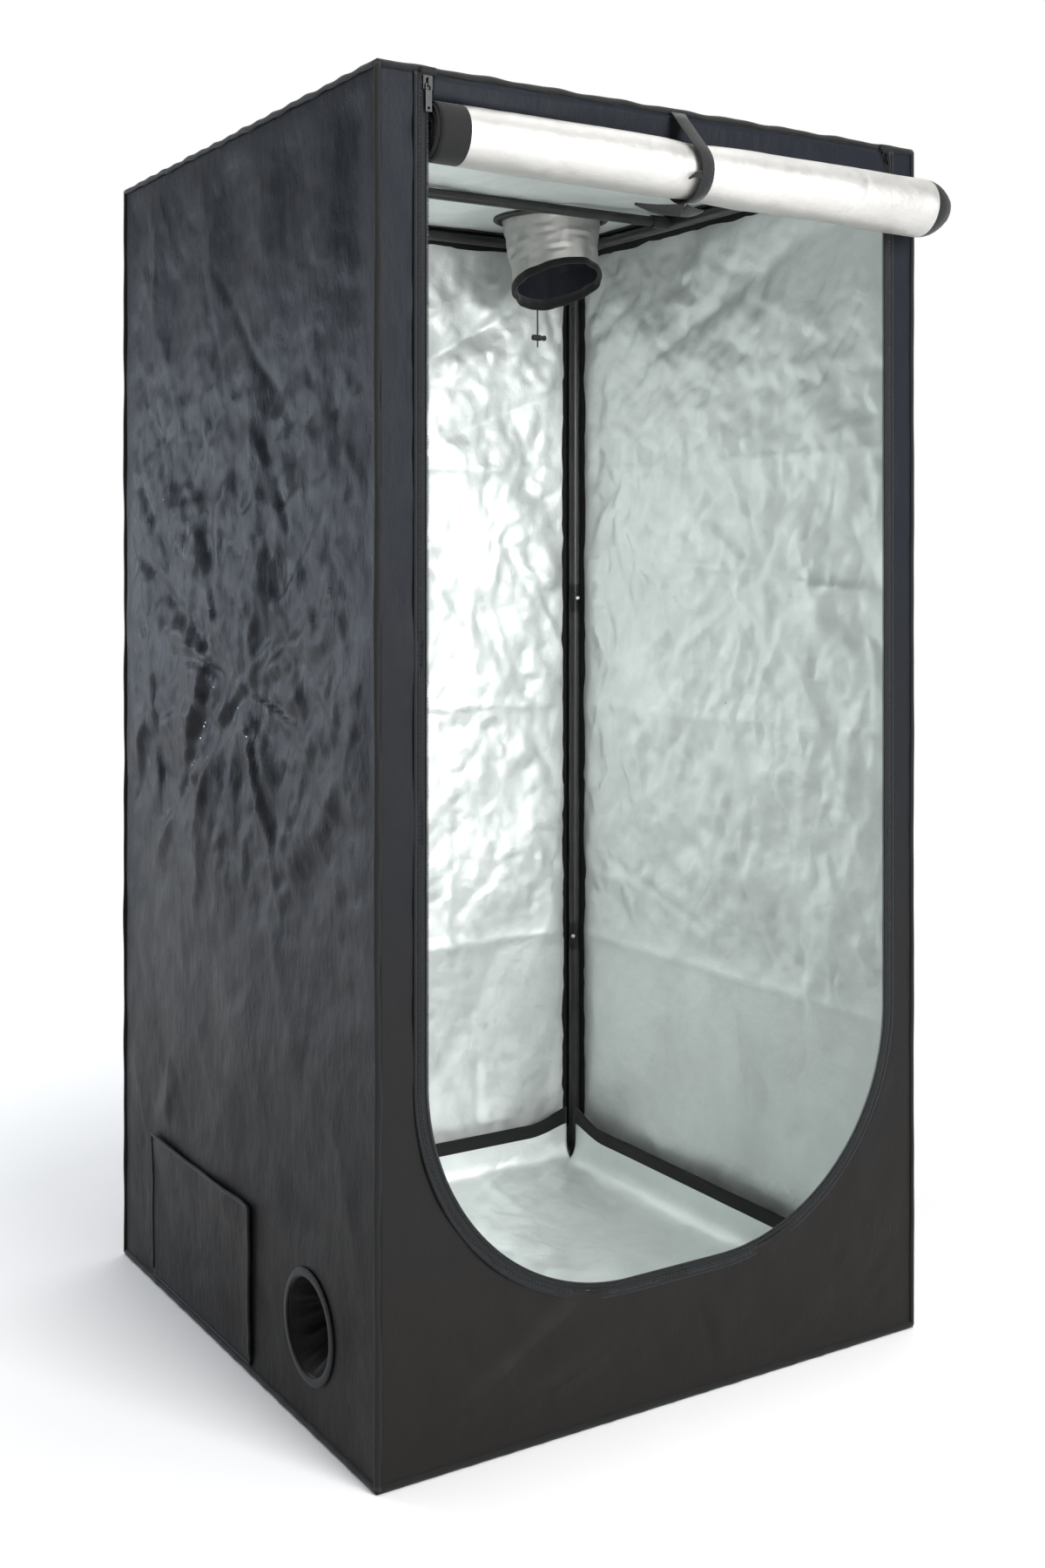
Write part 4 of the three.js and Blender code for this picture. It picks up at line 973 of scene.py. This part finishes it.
hook_side = np.array((strap_x - STRAP_WIDTH / 2 + 2 * MM, strap_centre[1] - strap_ring,
                      strap_centre[2] - 0.012))
hook_t = np.linspace(0, 1, 10)
hook_line = hook_side + np.stack([-0.016 * hook_t, 4 * MM * hook_t ** 2, -7 * MM * hook_t ** 2], -1)
make_mesh("door_strap_pull", *sweep(hook_line, strip(0.010, 1.8 * MM), up=(0, 1, 0),
                                    sizes=1 - 0.8 * hook_t), [WEBBING],
          "black_webbing")


# ---------------------------------------------------------------- zip: tape, teeth and stitches
def u_line(grow, top, step):
    """Points down the left leg of the U, round its two corners and up the right leg, evenly spaced."""
    left, right, sill = teeth_left - grow, teeth_right + grow, teeth_sill - grow
    radius = CORNER_RADIUS + grow
    bend = np.linspace(0, math.pi / 2, 80)
    corners = [np.stack([left + radius - radius * np.cos(bend), sill + radius - radius * np.sin(bend)], -1),
               np.stack([right - radius + radius * np.sin(bend), sill + radius - radius * np.cos(bend)], -1)]
    line = np.concatenate([[(left, top)], *corners, [(right, top)]])
    lengths = np.concatenate([[0], np.cumsum(np.hypot(*np.diff(line, axis=0).T))])
    evenly = np.linspace(0, lengths[-1], int(lengths[-1] / step) + 1)
    return np.stack([np.interp(evenly, lengths, line[:, k]) for k in (0, 1)], -1)


def upright(line, y):
    return np.column_stack([line[:, 0], np.full(len(line), y), line[:, 1]])


teeth_y = (zip_low[1] + zip_high[1]) / 2
TAPE_THICKNESS = 1.0 * MM
tape_line = upright(u_line(TAPE_WIDTH / 2 + 1.0 * MM, zip_high[2], 6 * MM), teeth_y)
rib_line = upright(u_line(2.6 * MM, zip_high[2], 6 * MM), teeth_y - 0.9 * MM)
hem_line = upright(u_line(TAPE_WIDTH + 3.0 * MM, zip_high[2], 6 * MM), teeth_y - 0.2 * MM)
tape_shapes = [sweep(tape_line, strip(TAPE_WIDTH, TAPE_THICKNESS), up=(0, 1, 0)),
               sweep(rib_line, circle(1.0 * MM, 8), up=(0, 1, 0)),
               sweep(hem_line, circle(2.2 * MM, 10, 0.6), up=(0, 1, 0))]
zip_tape = make_mesh("door_zip_tape_woven", *joined(tape_shapes), [ZIP_TAPE], "black_webbing")
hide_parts("door_zip_tape")

TOOTH_PITCH = 2.4 * MM
tooth_line = upright(u_line(0.3 * MM, TEETH_TOP, TOOTH_PITCH), teeth_y)
tangents, sideways, _ = frame_along(tooth_line, np.array((0.0, 1.0, 0.0)))
CUBE = np.array([(x, y, z) for x in (-1, 1) for y in (-1, 1) for z in (-1, 1)], float)
CUBE_FACES = np.array([(0, 1, 3, 2), (4, 6, 7, 5), (0, 4, 5, 1), (2, 3, 7, 6), (0, 2, 6, 4), (1, 5, 7, 3)])


def beads(places, along, across, size):
    """One small block at each place, its long side along or across the line."""
    up = np.cross(along, across)
    points = (places[:, None] + along[:, None] * CUBE[None, :, :1] * size[0]
              + across[:, None] * CUBE[None, :, 1:2] * size[1] + up[:, None] * CUBE[None, :, 2:] * size[2])
    faces = CUBE_FACES[None] + 8 * np.arange(len(places))[:, None, None]
    return points.reshape(-1, 3), [faces.reshape(-1, 4)]


zip_teeth = make_mesh("door_zip_teeth", *beads(tooth_line, tangents, sideways,
                                               (0.75 * MM, 1.1 * MM, 1.1 * MM)),
                      [TEETH], "zip_metal")
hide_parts("door_zip_tape")


def stitches(lines):
    """Rows of thread, one short bead a stitch, from lines with their outward directions."""
    shapes = []
    for line, out in lines:
        lengths = np.concatenate([[0], np.cumsum(np.linalg.norm(np.diff(line, axis=0), axis=1))])
        at = np.arange(3 * MM, lengths[-1], 5.2 * MM)
        places = np.stack([np.interp(at, lengths, line[:, k]) for k in range(3)], -1)
        along = np.gradient(places, axis=0)
        along /= np.linalg.norm(along, axis=1)[:, None]
        across = np.cross(along, np.broadcast_to(np.asarray(out, float), along.shape))
        across /= np.linalg.norm(across, axis=1)[:, None]
        shapes.append(beads(places, along, across, (1.7 * MM, 0.38 * MM, 0.38 * MM)))
    return joined(shapes)


stitch_rows = [(upright(u_line(grow, 1.585, 6 * MM), zip_low[1] + depth), (0, -1, 0))
               for grow, depth in ((0.0088, 0.55 * MM), (0.0118, 0.55 * MM))]
make_mesh("door_zip_stitching", *stitches(stitch_rows), [THREAD], "black_webbing")

for side in ("left", "right"):
    for node in (f"zip_slider_{side}", f"zip_puller_{side}"):
        soften(node, 0.25 * MM)
        frame["nodes"][node].data.materials.clear()
        frame["nodes"][node].data.materials.append(ZIP_METAL)
    slider = middle(f"zip_slider_{side}")
    cover = rounded_block((slider[0], teeth_y - 2.0 * MM, top_z - 3.4 * MM), (0.021, 0.008, 0.008), 2.5 * MM)
    make_mesh(f"zip_end_cover_{side}", *cover, [TAPE], "black_webbing")


# ---------------------------------------------------------------- duct sleeve under the ceiling
SLEEVE_RADII = (0.080, 0.070)
SLEEVE_SLOPE, SLEEVE_LEAN = 0.39, (0.009, -0.006)
sleeve_high = high("ceiling_sleeve")
sleeve_top_z = sleeve_high[2] - 2.5 * MM
SLEEVE_DEPTH = 0.1065
HEM_WIDTH = 0.014


def sleeve_surface(angle, down, inset=0.0, folds=1.0):
    """Down is 0 at the ceiling and 1 at the mouth."""
    radius = SLEEVE_RADII[0] + (SLEEVE_RADII[1] - SLEEVE_RADII[0]) * down - inset
    radius = radius + folds * down ** 0.6 * (0.9 * MM * np.cos(angle * 9 + 1)
                                             + 0.6 * MM * np.cos(angle * 14 + 2 * down)
                                             + 1.8 * MM * np.cos(angle * 4 + 0.6))
    pinched = 3.4 * MM * np.sin(math.pi * down) * (0.5 + 0.5 * np.abs(np.cos(angle * 3.5 + 2.5 * down + 1)))
    radius = radius - folds * pinched
    x, y = radius * np.cos(angle), radius * np.sin(angle)
    z = sleeve_top_z - SLEEVE_DEPTH * down - SLEEVE_SLOPE * down * y
    return np.stack([sleeve_top[0] + x + SLEEVE_LEAN[0] * down, sleeve_top[1] + y + SLEEVE_LEAN[1] * down,
                     z], -1)


def ring_sheet(name, rings, uv_rows, looks, slot, face_looks):
    """Closed loops joined in order into one skin, the last back to the first."""
    rings = np.asarray(rings)
    rows, count = rings.shape[:2]
    i, j = np.arange(rows)[:, None], np.arange(count)[None, :]
    below, beside = (i + 1) % rows, (j + 1) % count
    quads = np.stack([i * count + j, i * count + beside, below * count + beside, below * count + j], -1)
    uv = np.stack([np.broadcast_to(np.arange(count) * 4 * MM, (rows, count)),
                   np.broadcast_to(np.asarray(uv_rows)[:, None], (rows, count))], -1)
    face_looks = np.repeat(face_looks, count)
    return make_mesh(name, rings.reshape(-1, 3), [quads.reshape(-1, 4)], looks, slot, face_looks,
                     uv.reshape(-1, 2))


ring_angle = np.linspace(0, 2 * math.pi, 168, endpoint=False)
sleeve_t = np.linspace(0, 1, 26)
crinkled = 0.9 * MM
outside = []
for k, t in enumerate(sleeve_t):
    rng = np.random.default_rng(500 + k // 2)
    knots = rng.normal(0, 1, 24)
    rough_ring = np.interp(ring_angle, np.linspace(0, 2 * math.pi, 25), np.append(knots, knots[0])) * crinkled
    outside.append(sleeve_surface(ring_angle, t, rough_ring * math.sin(math.pi * min(t + 0.1, 1))))
inside = [ring + (np.array([sleeve_top[0], sleeve_top[1], 0]) - ring) * [1, 1,
                                                                         0] * 0.018 for ring in outside[::-1]]
rings = outside + inside
rows_uv = list(sleeve_t * 0.11) + list(sleeve_t[::-1] * 0.11)
looks_by_row = [0] * (len(outside) - 1) + [1] * (len(inside) + 1)
# The sleeve's outside uses the darker copy of the silver laminate: painted shade with a warm painted
# reflection.
sleeve_cloth = ring_sheet("ceiling_sleeve_cloth", rings, rows_uv, [SILVER_SHADED_WARM, SHELL], "silver_cloth",
                          looks_by_row)
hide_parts("ceiling_sleeve")

hem_ring = sleeve_surface(ring_angle, 1.0)
hem_out = (hem_ring - [*(sleeve_top + np.array(SLEEVE_LEAN)), 0]) * [1, 1, 0]
hem_out /= np.linalg.norm(hem_out, axis=1)[:, None]
hem_loops = [sleeve_surface(ring_angle, 1.0 - HEM_WIDTH / SLEEVE_DEPTH * (1 - t)) + hem_out * swell * MM
             for t, swell in ((0, 0.5), (0.1, 2.0), (0.5, 2.8), (0.9, 2.4), (1.05, 0.6), (1.0, -1.6),
                              (0.5, -3.0), (0, -2.2))]
ring_sheet("ceiling_sleeve_hem", hem_loops, [k * 4 * MM for k in range(8)], [TAPE],
           "black_webbing",
           [0] * 8)
flange_loops = [np.column_stack([np.tile(sleeve_top, (168, 1)) + radius * np.stack([np.cos(ring_angle),
                np.sin(ring_angle)], -1), np.full(168, z)])
                for radius, z in ((0.080, sleeve_top_z), (0.0925, sleeve_top_z + 0.3 * MM),
                                  (0.0935, sleeve_top_z + 1.2 * MM),
                                  (0.0925, sleeve_high[2]), (0.0805, sleeve_high[2]))]
ring_sheet("ceiling_sleeve_flange", flange_loops, [0, 0.01, 0.012, 0.014, 0.024], [TAPE],
                              "black_webbing", [0] * 5)
# ---------------------------------------------------------------- duct sleeve through the left wall
PORT_RADII = (0.0590, 0.034)
PORT_DEPTH, PORT_RISE = 0.0555, 0.015
side_low, side_high = low("side_sleeve"), high("side_sleeve")
ring_outer = (side_high[1] - side_low[1]) / 2


def port_loop(depth, radius, pleats, rise, phase=0.0):
    """A gathered ring at a depth inside the wall."""
    wave = pleats * (np.cos(ring_angle * 13 + phase) + 0.5 * np.cos(ring_angle * 7 + 2 * phase + 1))
    r = radius + wave
    x = side_low[0] + 2.7 * MM + depth
    return np.stack([np.full(len(ring_angle), x) + 0.6 * wave, port_centre[0] + r * np.cos(ring_angle),
                     port_centre[1] + rise + r * np.sin(ring_angle)], -1)


port_t = np.linspace(0, 1, 22)
port_out = [port_loop(PORT_DEPTH * t, PORT_RADII[0] + (PORT_RADII[1] - PORT_RADII[0]) * t ** 1.2,
                      3.6 * MM * min(1, t * 1.6), PORT_RISE * t, 1.6 * t) for t in port_t]
port_in = [port_loop(PORT_DEPTH * t + 0.4 * MM,
                     PORT_RADII[0] - 1.2 * MM + (PORT_RADII[1] - PORT_RADII[0]) * t ** 1.2,
                     3.6 * MM * min(1, t * 1.6), PORT_RISE * t, 1.6 * t) for t in port_t[::-1]]
port_cloth = ring_sheet("side_sleeve_cloth", port_out + port_in, [*(port_t * 0.06), *(port_t[::-1] * 0.06)],
                        [SHELL], "shell_cloth", [0] * 44)
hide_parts("side_sleeve")
ring_profile = [(ring_outer - 11 * MM, 0.2 * MM), (ring_outer - 10.4 * MM, 2.2 * MM),
                (ring_outer - 8.5 * MM, 3.0 * MM),
                (ring_outer - 5 * MM, 2.5 * MM), (ring_outer - 1.2 * MM, 1.9 * MM), (ring_outer, 0.9 * MM),
                (ring_outer - 1 * MM, 0), (ring_outer - 6 * MM, 0)]
ring_shape = revolve([(r, h) for r, h in ring_profile], (side_low[0] + 2.7 * MM, *port_centre), (-1, 0, 0),
                     96,
                     tube=True)
make_mesh("side_sleeve_hem", *ring_shape, [TAPE], "black_webbing")


# ---------------------------------------------------------------- vent flap and its net


def flap():
    u, v = lattice(flap_low[1], flap_high[1], flap_low[2], flap_high[2], 4 * MM)
    rise = (v - v.min()) / (v.max() - v.min())
    front = (u.max() - u) / (u.max() - u.min())
    gape = 4.5 * MM * smooth(rise, 0.7, 1.0) * (0.6 + 0.4 * np.sin(u * 31 + 1)) + 2.5 * MM * smooth(front,
                                                                                                    0.9, 1.0)
    relief = gape + 0.9 * MM * facets(u, v, 0.05, 601) + 0.4 * MM * facets(u, v, 0.02, 602)
    relief = relief * smooth(rise, 0.0, 0.15) + 0.5 * MM
    wave = 1.8 * MM * np.sin(u * 23 + 2) * smooth(rise, 0.6, 1)
    x = flap_high[0] - relief
    outer = np.stack([x - CLOTH_THICKNESS, u, v + wave], -1)
    inner = np.stack([x, u, v + wave], -1)
    piece = sheet("vent_flap_cloth", u, v, outer, inner, [SHELL, SILVER, TAPE], "shell_cloth",
                  cell_looks=(0, 1, 2), body="vent_flap")
    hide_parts("vent_flap")
    border = np.concatenate([outer[0, :, :], outer[1:, -1, :], outer[-1, ::-1, :][1:]])
    border = border[2:-2] + [0.2 * MM, 0, 0]
    hem = make_mesh("vent_flap_hem", *sweep(border, circle(2.6 * MM, 10, 0.8), up=(1, 0, 0)), [TAPE],
                    "black_webbing",
                    body="vent_flap")


flap()
seam_line = np.column_stack([np.full(60, flap_low[0] + 1.5 * MM), np.linspace(flap_low[1], flap_high[1], 60),
                             np.full(60, flap_low[2] - 0.5 * MM)])
make_mesh("vent_flap_seam", *sweep(seam_line, circle(2.0 * MM, 10, 0.8), up=(1, 0, 0)), [TAPE],
          "black_webbing")


def net():
    """Crossed threads at a fine pitch inside a hemmed border."""
    pitch, half = 3.6 * MM, 0.45 * MM
    x = (net_low[0] + net_high[0]) / 2
    strands = []
    for y in np.arange(net_low[1] + 2 * MM, net_high[1] - 1 * MM, pitch):
        strands.append(((x, y, (net_low[2] + net_high[2]) / 2), (half, half, (net_high[2] - net_low[2]) / 2)))
    for z in np.arange(net_low[2] + 2 * MM, net_high[2] - 1 * MM, pitch):
        strands.append(((x - 0.1 * MM, (net_low[1] + net_high[1]) / 2, z),
                        (half, (net_high[1] - net_low[1]) / 2, half)))
    points = [np.array(c) + CUBE * np.array(s) for c, s in strands]
    faces = [CUBE_FACES + 8 * k for k in range(len(strands))]
    piece = make_mesh("vent_net", np.concatenate(points), [np.concatenate(faces)], [NET], "mesh_cloth")
    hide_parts("vent_mesh")


net()
net_frame = []
band = 12 * MM
for start, end in (((1, 2), (1, 3)), ((1, 3), (0, 3)), ((0, 3), (0, 2)), ((0, 2), (1, 2))):
    ys, zs = (net_low[1], net_high[1]), (net_low[2], net_high[2])
    a = np.array((net_high[0] + 0.9 * MM, ys[start[0]], zs[start[1] - 2]))
    b = np.array((net_high[0] + 0.9 * MM, ys[end[0]], zs[end[1] - 2]))
    net_frame.append(sweep(np.linspace(a, b, 30), strip(band, 1.2 * MM), up=(1, 0, 0)))
make_mesh("vent_net_binding", *joined(net_frame), [TAPE], "black_webbing")


# ---------------------------------------------------------------- floor tray
TRAY_RIM, TRAY_PORT_RIM, TRAY_CORNER_RIM, TRAY_CORNER_SPAN = 0.080, 0.066, 0.100, 0.090
TRAY_BEND = 0.046
TRAY_CELLS = 108
TRAY_BAND = 0.30
tray_low, tray_high = low("floor_tray"), high("floor_tray")
tray_half = (tray_high[0] - tray_low[0]) / 2


def upturn(beyond):
    """How far the cloth lies in from the rim and how high it stands, past its place on the flat cut."""
    s = np.clip(beyond, -TRAY_BEND, TRAY_BEND)
    inward = -((TRAY_BEND - s) ** 2) / (4 * TRAY_BEND)
    return inward, (s + TRAY_BEND) ** 2 / (4 * TRAY_BEND) + np.maximum(beyond - TRAY_BEND, 0)


def tray():
    step = 2 * tray_half / TRAY_CELLS
    span = tray_half + round(TRAY_CORNER_RIM / step) * step
    u, v = lattice(-span, span, -span, span, step)
    beyond_u, beyond_v = np.abs(u) - tray_half, np.abs(v) - tray_half
    outside = np.maximum(beyond_u, beyond_v)
    on_side = np.where(beyond_u > beyond_v, v, u)
    rim = np.where((beyond_u > beyond_v) & (u < 0), TRAY_PORT_RIM, TRAY_RIM)
    rim = rim + (TRAY_CORNER_RIM - rim) * (1 - smooth(tray_half - np.abs(on_side), 0, TRAY_CORNER_SPAN))
    bend_u, lift_u = upturn(beyond_u)
    bend_v, lift_v = upturn(beyond_v)
    wrinkle = crumple(u, v, 701, 4.0 * MM, 3.6 * MM, 1.3 * MM)
    wrinkle += 9 * MM * starburst(u, v, (tray_half * 0.98, tray_half * 0.98), 711, 0.45)
    wrinkle += scattered_creases(u, v, 721, 36, 35, 25, 0.5, 5.0 * MM)
    floor = np.maximum(wrinkle + 2.2 * MM, 0.0)
    lean = np.maximum(1.8 * MM * facets(u, v, 0.07, 741), 0) + 0.6 * MM
    x = np.sign(u) * np.where(beyond_u > -TRAY_BEND, tray_half + bend_u - lean, np.abs(u))
    y = np.sign(v) * np.where(beyond_v > -TRAY_BEND, tray_half + bend_v - lean, np.abs(v))
    flat_share = 1 - smooth(outside, -TRAY_BEND, TRAY_BEND)
    climb = np.maximum(lift_u, lift_v) * rim / TRAY_CORNER_RIM
    z = tray_low[2] + 0.8 * MM + floor * flat_share + climb
    middle_points = np.stack([x, y, z], -1)
    normal = np.cross(np.gradient(middle_points, axis=0), np.gradient(middle_points, axis=1))
    normal /= np.maximum(np.linalg.norm(normal, axis=-1), 1e-9)[..., None]
    keep = ~((beyond_u > 1 * MM) & (beyond_v > 1 * MM))
    keep = keep[:-1, :-1] & keep[1:, :-1] & keep[:-1, 1:] & keep[1:, 1:]
    banded = (outside > TRAY_CORNER_RIM * (1 - TRAY_BAND))[:-1, :-1]
    dark = np.where(banded.ravel(), 2, 1)
    piece = sheet("floor_tray_cloth", u, v, middle_points + normal * CLOTH_THICKNESS / 2,
                  middle_points - normal * CLOTH_THICKNESS / 2, [SILVER, SHELL, TAPE], "silver_cloth",
                  keep=keep,
                  cell_looks=(np.where(banded.ravel(), 2, 0), dark, 2))
    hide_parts("floor_tray")


tray()


# ---------------------------------------------------------------- poles, sockets and snap buttons
POLE_WALL = 1.0 * MM


def pole(node, body="tent"):
    """A painted steel tube with turned ends in place of the faceted one."""
    lowest, highest = low(node), high(node)
    size = highest - lowest
    axis = int(np.argmax(size))
    radius = float(np.delete(size, axis).max()) / 2
    length = float(size[axis])
    direction = np.zeros(3)
    direction[axis] = 1
    foot = (lowest + highest) / 2
    foot[axis] = lowest[axis]
    soft = 0.5 * MM
    profile = [(radius - POLE_WALL, 0), (radius - soft, 0), (radius, soft), (radius, length - soft),
               (radius - soft, length), (radius - POLE_WALL, length)]
    piece = make_mesh(node + "_tube", *revolve(profile, foot, direction, SIDES, tube=True), [PAINT],
                      "pole_paint",
                      body=body, sharp=30)
    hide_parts(node)
    return piece


BUTTON_HOLE_RADIUS = 3.65 * MM
BUTTON_SIDES = 28
DRILL_FROM, DRILL_TO = 2 * MM, 14 * MM
buttons = {}
for corner in ("back_right", "back_left", "front_left", "front_right"):
    for level, post in (("lower", "middle"), ("upper", "upper")):
        node = f"snap_button_{corner}_{level}"
        post_centre = middle(f"post_{corner}_{post}")
        centre = middle(node)
        outward = Vector((centre[0] - post_centre[0], centre[1] - post_centre[1], 0)).normalized()
        buttons.setdefault(f"post_{corner}_{post}", []).append((node, centre, outward, post_centre))

for node in frame["record"]["behaviour"]["bodies"]["tent"]:
    if node.startswith(("pole_", "post_")):
        tube = pole(node)
        for _, centre, outward, post_centre in buttons.get(node, ()):
            start = (post_centre[0], post_centre[1], centre[2])
            drill = revolve([(BUTTON_HOLE_RADIUS, DRILL_FROM), (BUTTON_HOLE_RADIUS, DRILL_TO)],
                            start, outward, BUTTON_SIDES)
            cut_or_join(tube, [drill], "DIFFERENCE")

BUTTON_TIP, BUTTON_RADIUS, FLANGE_RADIUS = 12.9 * MM, 3.45 * MM, 4.4 * MM
for fitted in buttons.values():
    for node, centre, outward, post_centre in fitted:
        tip, r = BUTTON_TIP, BUTTON_RADIUS
        profile = [(FLANGE_RADIUS, 7.0 * MM), (FLANGE_RADIUS, 7.8 * MM), (r, 7.9 * MM), (r, tip - 1.6 * MM),
                   (r * 0.94, tip - 0.9 * MM), (r * 0.75, tip - 0.35 * MM), (r * 0.4, tip - 0.05 * MM),
                   (r * 0.05, tip)]
        start = (post_centre[0], post_centre[1], centre[2])
        piece = make_mesh(node + "_steel", *revolve(profile, start, outward, BUTTON_SIDES), [STEEL],
                          "button_steel",
                          body=node,
                          sharp=45)
        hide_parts(node)


CORNER_HALF = 12.5 * MM
CORNER_SIDES = 36


def corner_shape():
    """Three moulded sockets that meet in a rounded block: along -X, -Y and +Z, on the origin."""
    r, reach, bore, stop, lip = CORNER_HALF, 45 * MM, 9.8 * MM, 14 * MM, 0.7 * MM
    block = make_mesh("corner_master", *rounded_block((0, 0, 0), (2 * r, 2 * r, 2 * r), 2.4 * MM), [PLASTIC],
                      "corner_plastic")
    legs = [(-1, 0, 0), (0, -1, 0), (0, 0, 1)]
    profile = [(r * 0.93, 2 * MM), (r * 0.93, reach - 8 * MM), (r - lip * 0.2, reach - 7.2 * MM),
               (r, reach - 6.4 * MM), (r, reach - 1 * MM), (r - 0.8 * MM, reach)]
    cut_or_join(block, [revolve(profile, (0, 0, 0), leg, CORNER_SIDES) for leg in legs], "UNION")
    cut_or_join(block, [revolve([(bore, stop), (bore, reach + 2 * MM)], (0, 0, 0), leg,
                                CORNER_SIDES) for leg in legs],
                "DIFFERENCE")
    return block


master = corner_shape()
for node in frame["record"]["behaviour"]["bodies"]["tent"]:
    if not node.startswith("corner_"):
        continue
    lowest, highest = low(node), high(node)
    side_x = 1 if lowest[0] > 0 else -1
    side_y = 1 if lowest[1] > 0 else -1
    side_z = 1 if node.endswith("bottom") else -1
    r = CORNER_HALF
    centre = np.array([highest[0] - r if side_x > 0 else lowest[0] + r,
                       highest[1] - r if side_y > 0 else lowest[1] + r,
                       lowest[2] + r if side_z > 0 else highest[2] - r])
    mesh = master.data.copy()
    for vertex in mesh.vertices:
        vertex.co = Vector((vertex.co.x * side_x, vertex.co.y * side_y,
                            vertex.co.z * side_z)) + Vector(centre)
    if side_x * side_y * side_z < 0:
        mesh.flip_normals()
    socket = bpy.data.objects.new(node + "_moulding", mesh)
    bpy.context.scene.collection.objects.link(socket)
    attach(socket, "tent")
    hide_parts(node)
bpy.data.objects.remove(master)

pole("hanging_bar", body="hanging_bar")
for node in ("bar_hook_left", "bar_hook_right"):
    soften(node, 0.5 * MM)
    frame["nodes"][node].data.materials.clear()
    frame["nodes"][node].data.materials.append(PLASTIC)


# ---------------------------------------------------------------- floor, light and world
floor_data = bpy.data.meshes.new("studio_floor")
FLOOR_HALF = 12.0
floor_data.from_pydata([(x, y, -0.2 * MM) for x, y in ((-FLOOR_HALF, -FLOOR_HALF), (FLOOR_HALF, -FLOOR_HALF),
                                                      (FLOOR_HALF, FLOOR_HALF), (-FLOOR_HALF, FLOOR_HALF))],
                       [], [(0, 1, 2, 3)])
floor_piece = bpy.data.objects.new("studio_floor", floor_data)
bpy.context.scene.collection.objects.link(floor_piece)
floor_look = Look("studio_paper", Specular_IOR_Level=0.1)
floor_look.colour(floor_look.mix(floor_look.noise(floor_look.place(), 3.0), grey(0.90), grey(0.93)))
floor_look.rough(floor_look.between(floor_look.noise(floor_look.place(), 200.0), 0, 1, 0.8, 0.9))
floor_away = floor_look.add("VectorMath", {0: floor_look.place()}, operation="LENGTH").outputs["Value"]
floor_glow = floor_look.between(floor_away, 0.9, 4.0, 0.0, 0.85)
floor_look.tree.links.new(floor_glow, floor_look.shader.inputs["Emission Strength"])
floor_look.shader.inputs["Emission Color"].default_value = (1, 1, 1, 1)
floor_data.materials.append(floor_look.material)


def softbox(name, place, aim, size, power, tint=(1, 1, 1)):
    light = bpy.data.lights.new(name, "AREA")
    light.shape, light.size, light.size_y = "RECTANGLE", size[0], size[1]
    light.energy, light.color = power, tint
    lamp = bpy.data.objects.new(name, light)
    lamp.location = place
    lamp.rotation_euler = (Vector(aim) - Vector(place)).to_track_quat("-Z", "Y").to_euler()
    bpy.context.scene.collection.objects.link(lamp)


softbox("key_left", (-2.3, 3.0, 1.0), (-0.4, 0.0, 0.85), (1.0, 1.1), 62, (0.76, 0.86, 1.0))
softbox("fill_cabin", (0.2, -2.9, 1.7), (0.1, 0.3, 0.70), (1.2, 1.5), 112)
softbox("overhead", (0, 0, 4.2), (0, 0, 0), (4, 4), 135)

world = bpy.data.worlds.new("studio")
bpy.context.scene.world = world
world.use_nodes = True
tree = world.node_tree
where = tree.nodes.new("ShaderNodeTexCoord").outputs["Generated"]
facing = tree.nodes.new("ShaderNodeVectorMath")
facing.operation = "DOT_PRODUCT"
facing.inputs[1].default_value = (math.sin(CAMERA_YAW), math.cos(CAMERA_YAW), 0)
tree.links.new(where, facing.inputs[0])
share = tree.nodes.new("ShaderNodeMapRange")
for socket, value in (("From Min", 0.45), ("From Max", 0.85), ("To Min", 0.20), ("To Max", 1.0)):
    share.inputs[socket].default_value = value
tree.links.new(facing.outputs["Value"], share.inputs["Value"])
tree.links.new(share.outputs["Result"], tree.nodes["Background"].inputs["Strength"])
tree.nodes["Background"].inputs["Color"].default_value = (1, 1, 1, 1)
bpy.context.scene.view_settings.view_transform = "Standard"
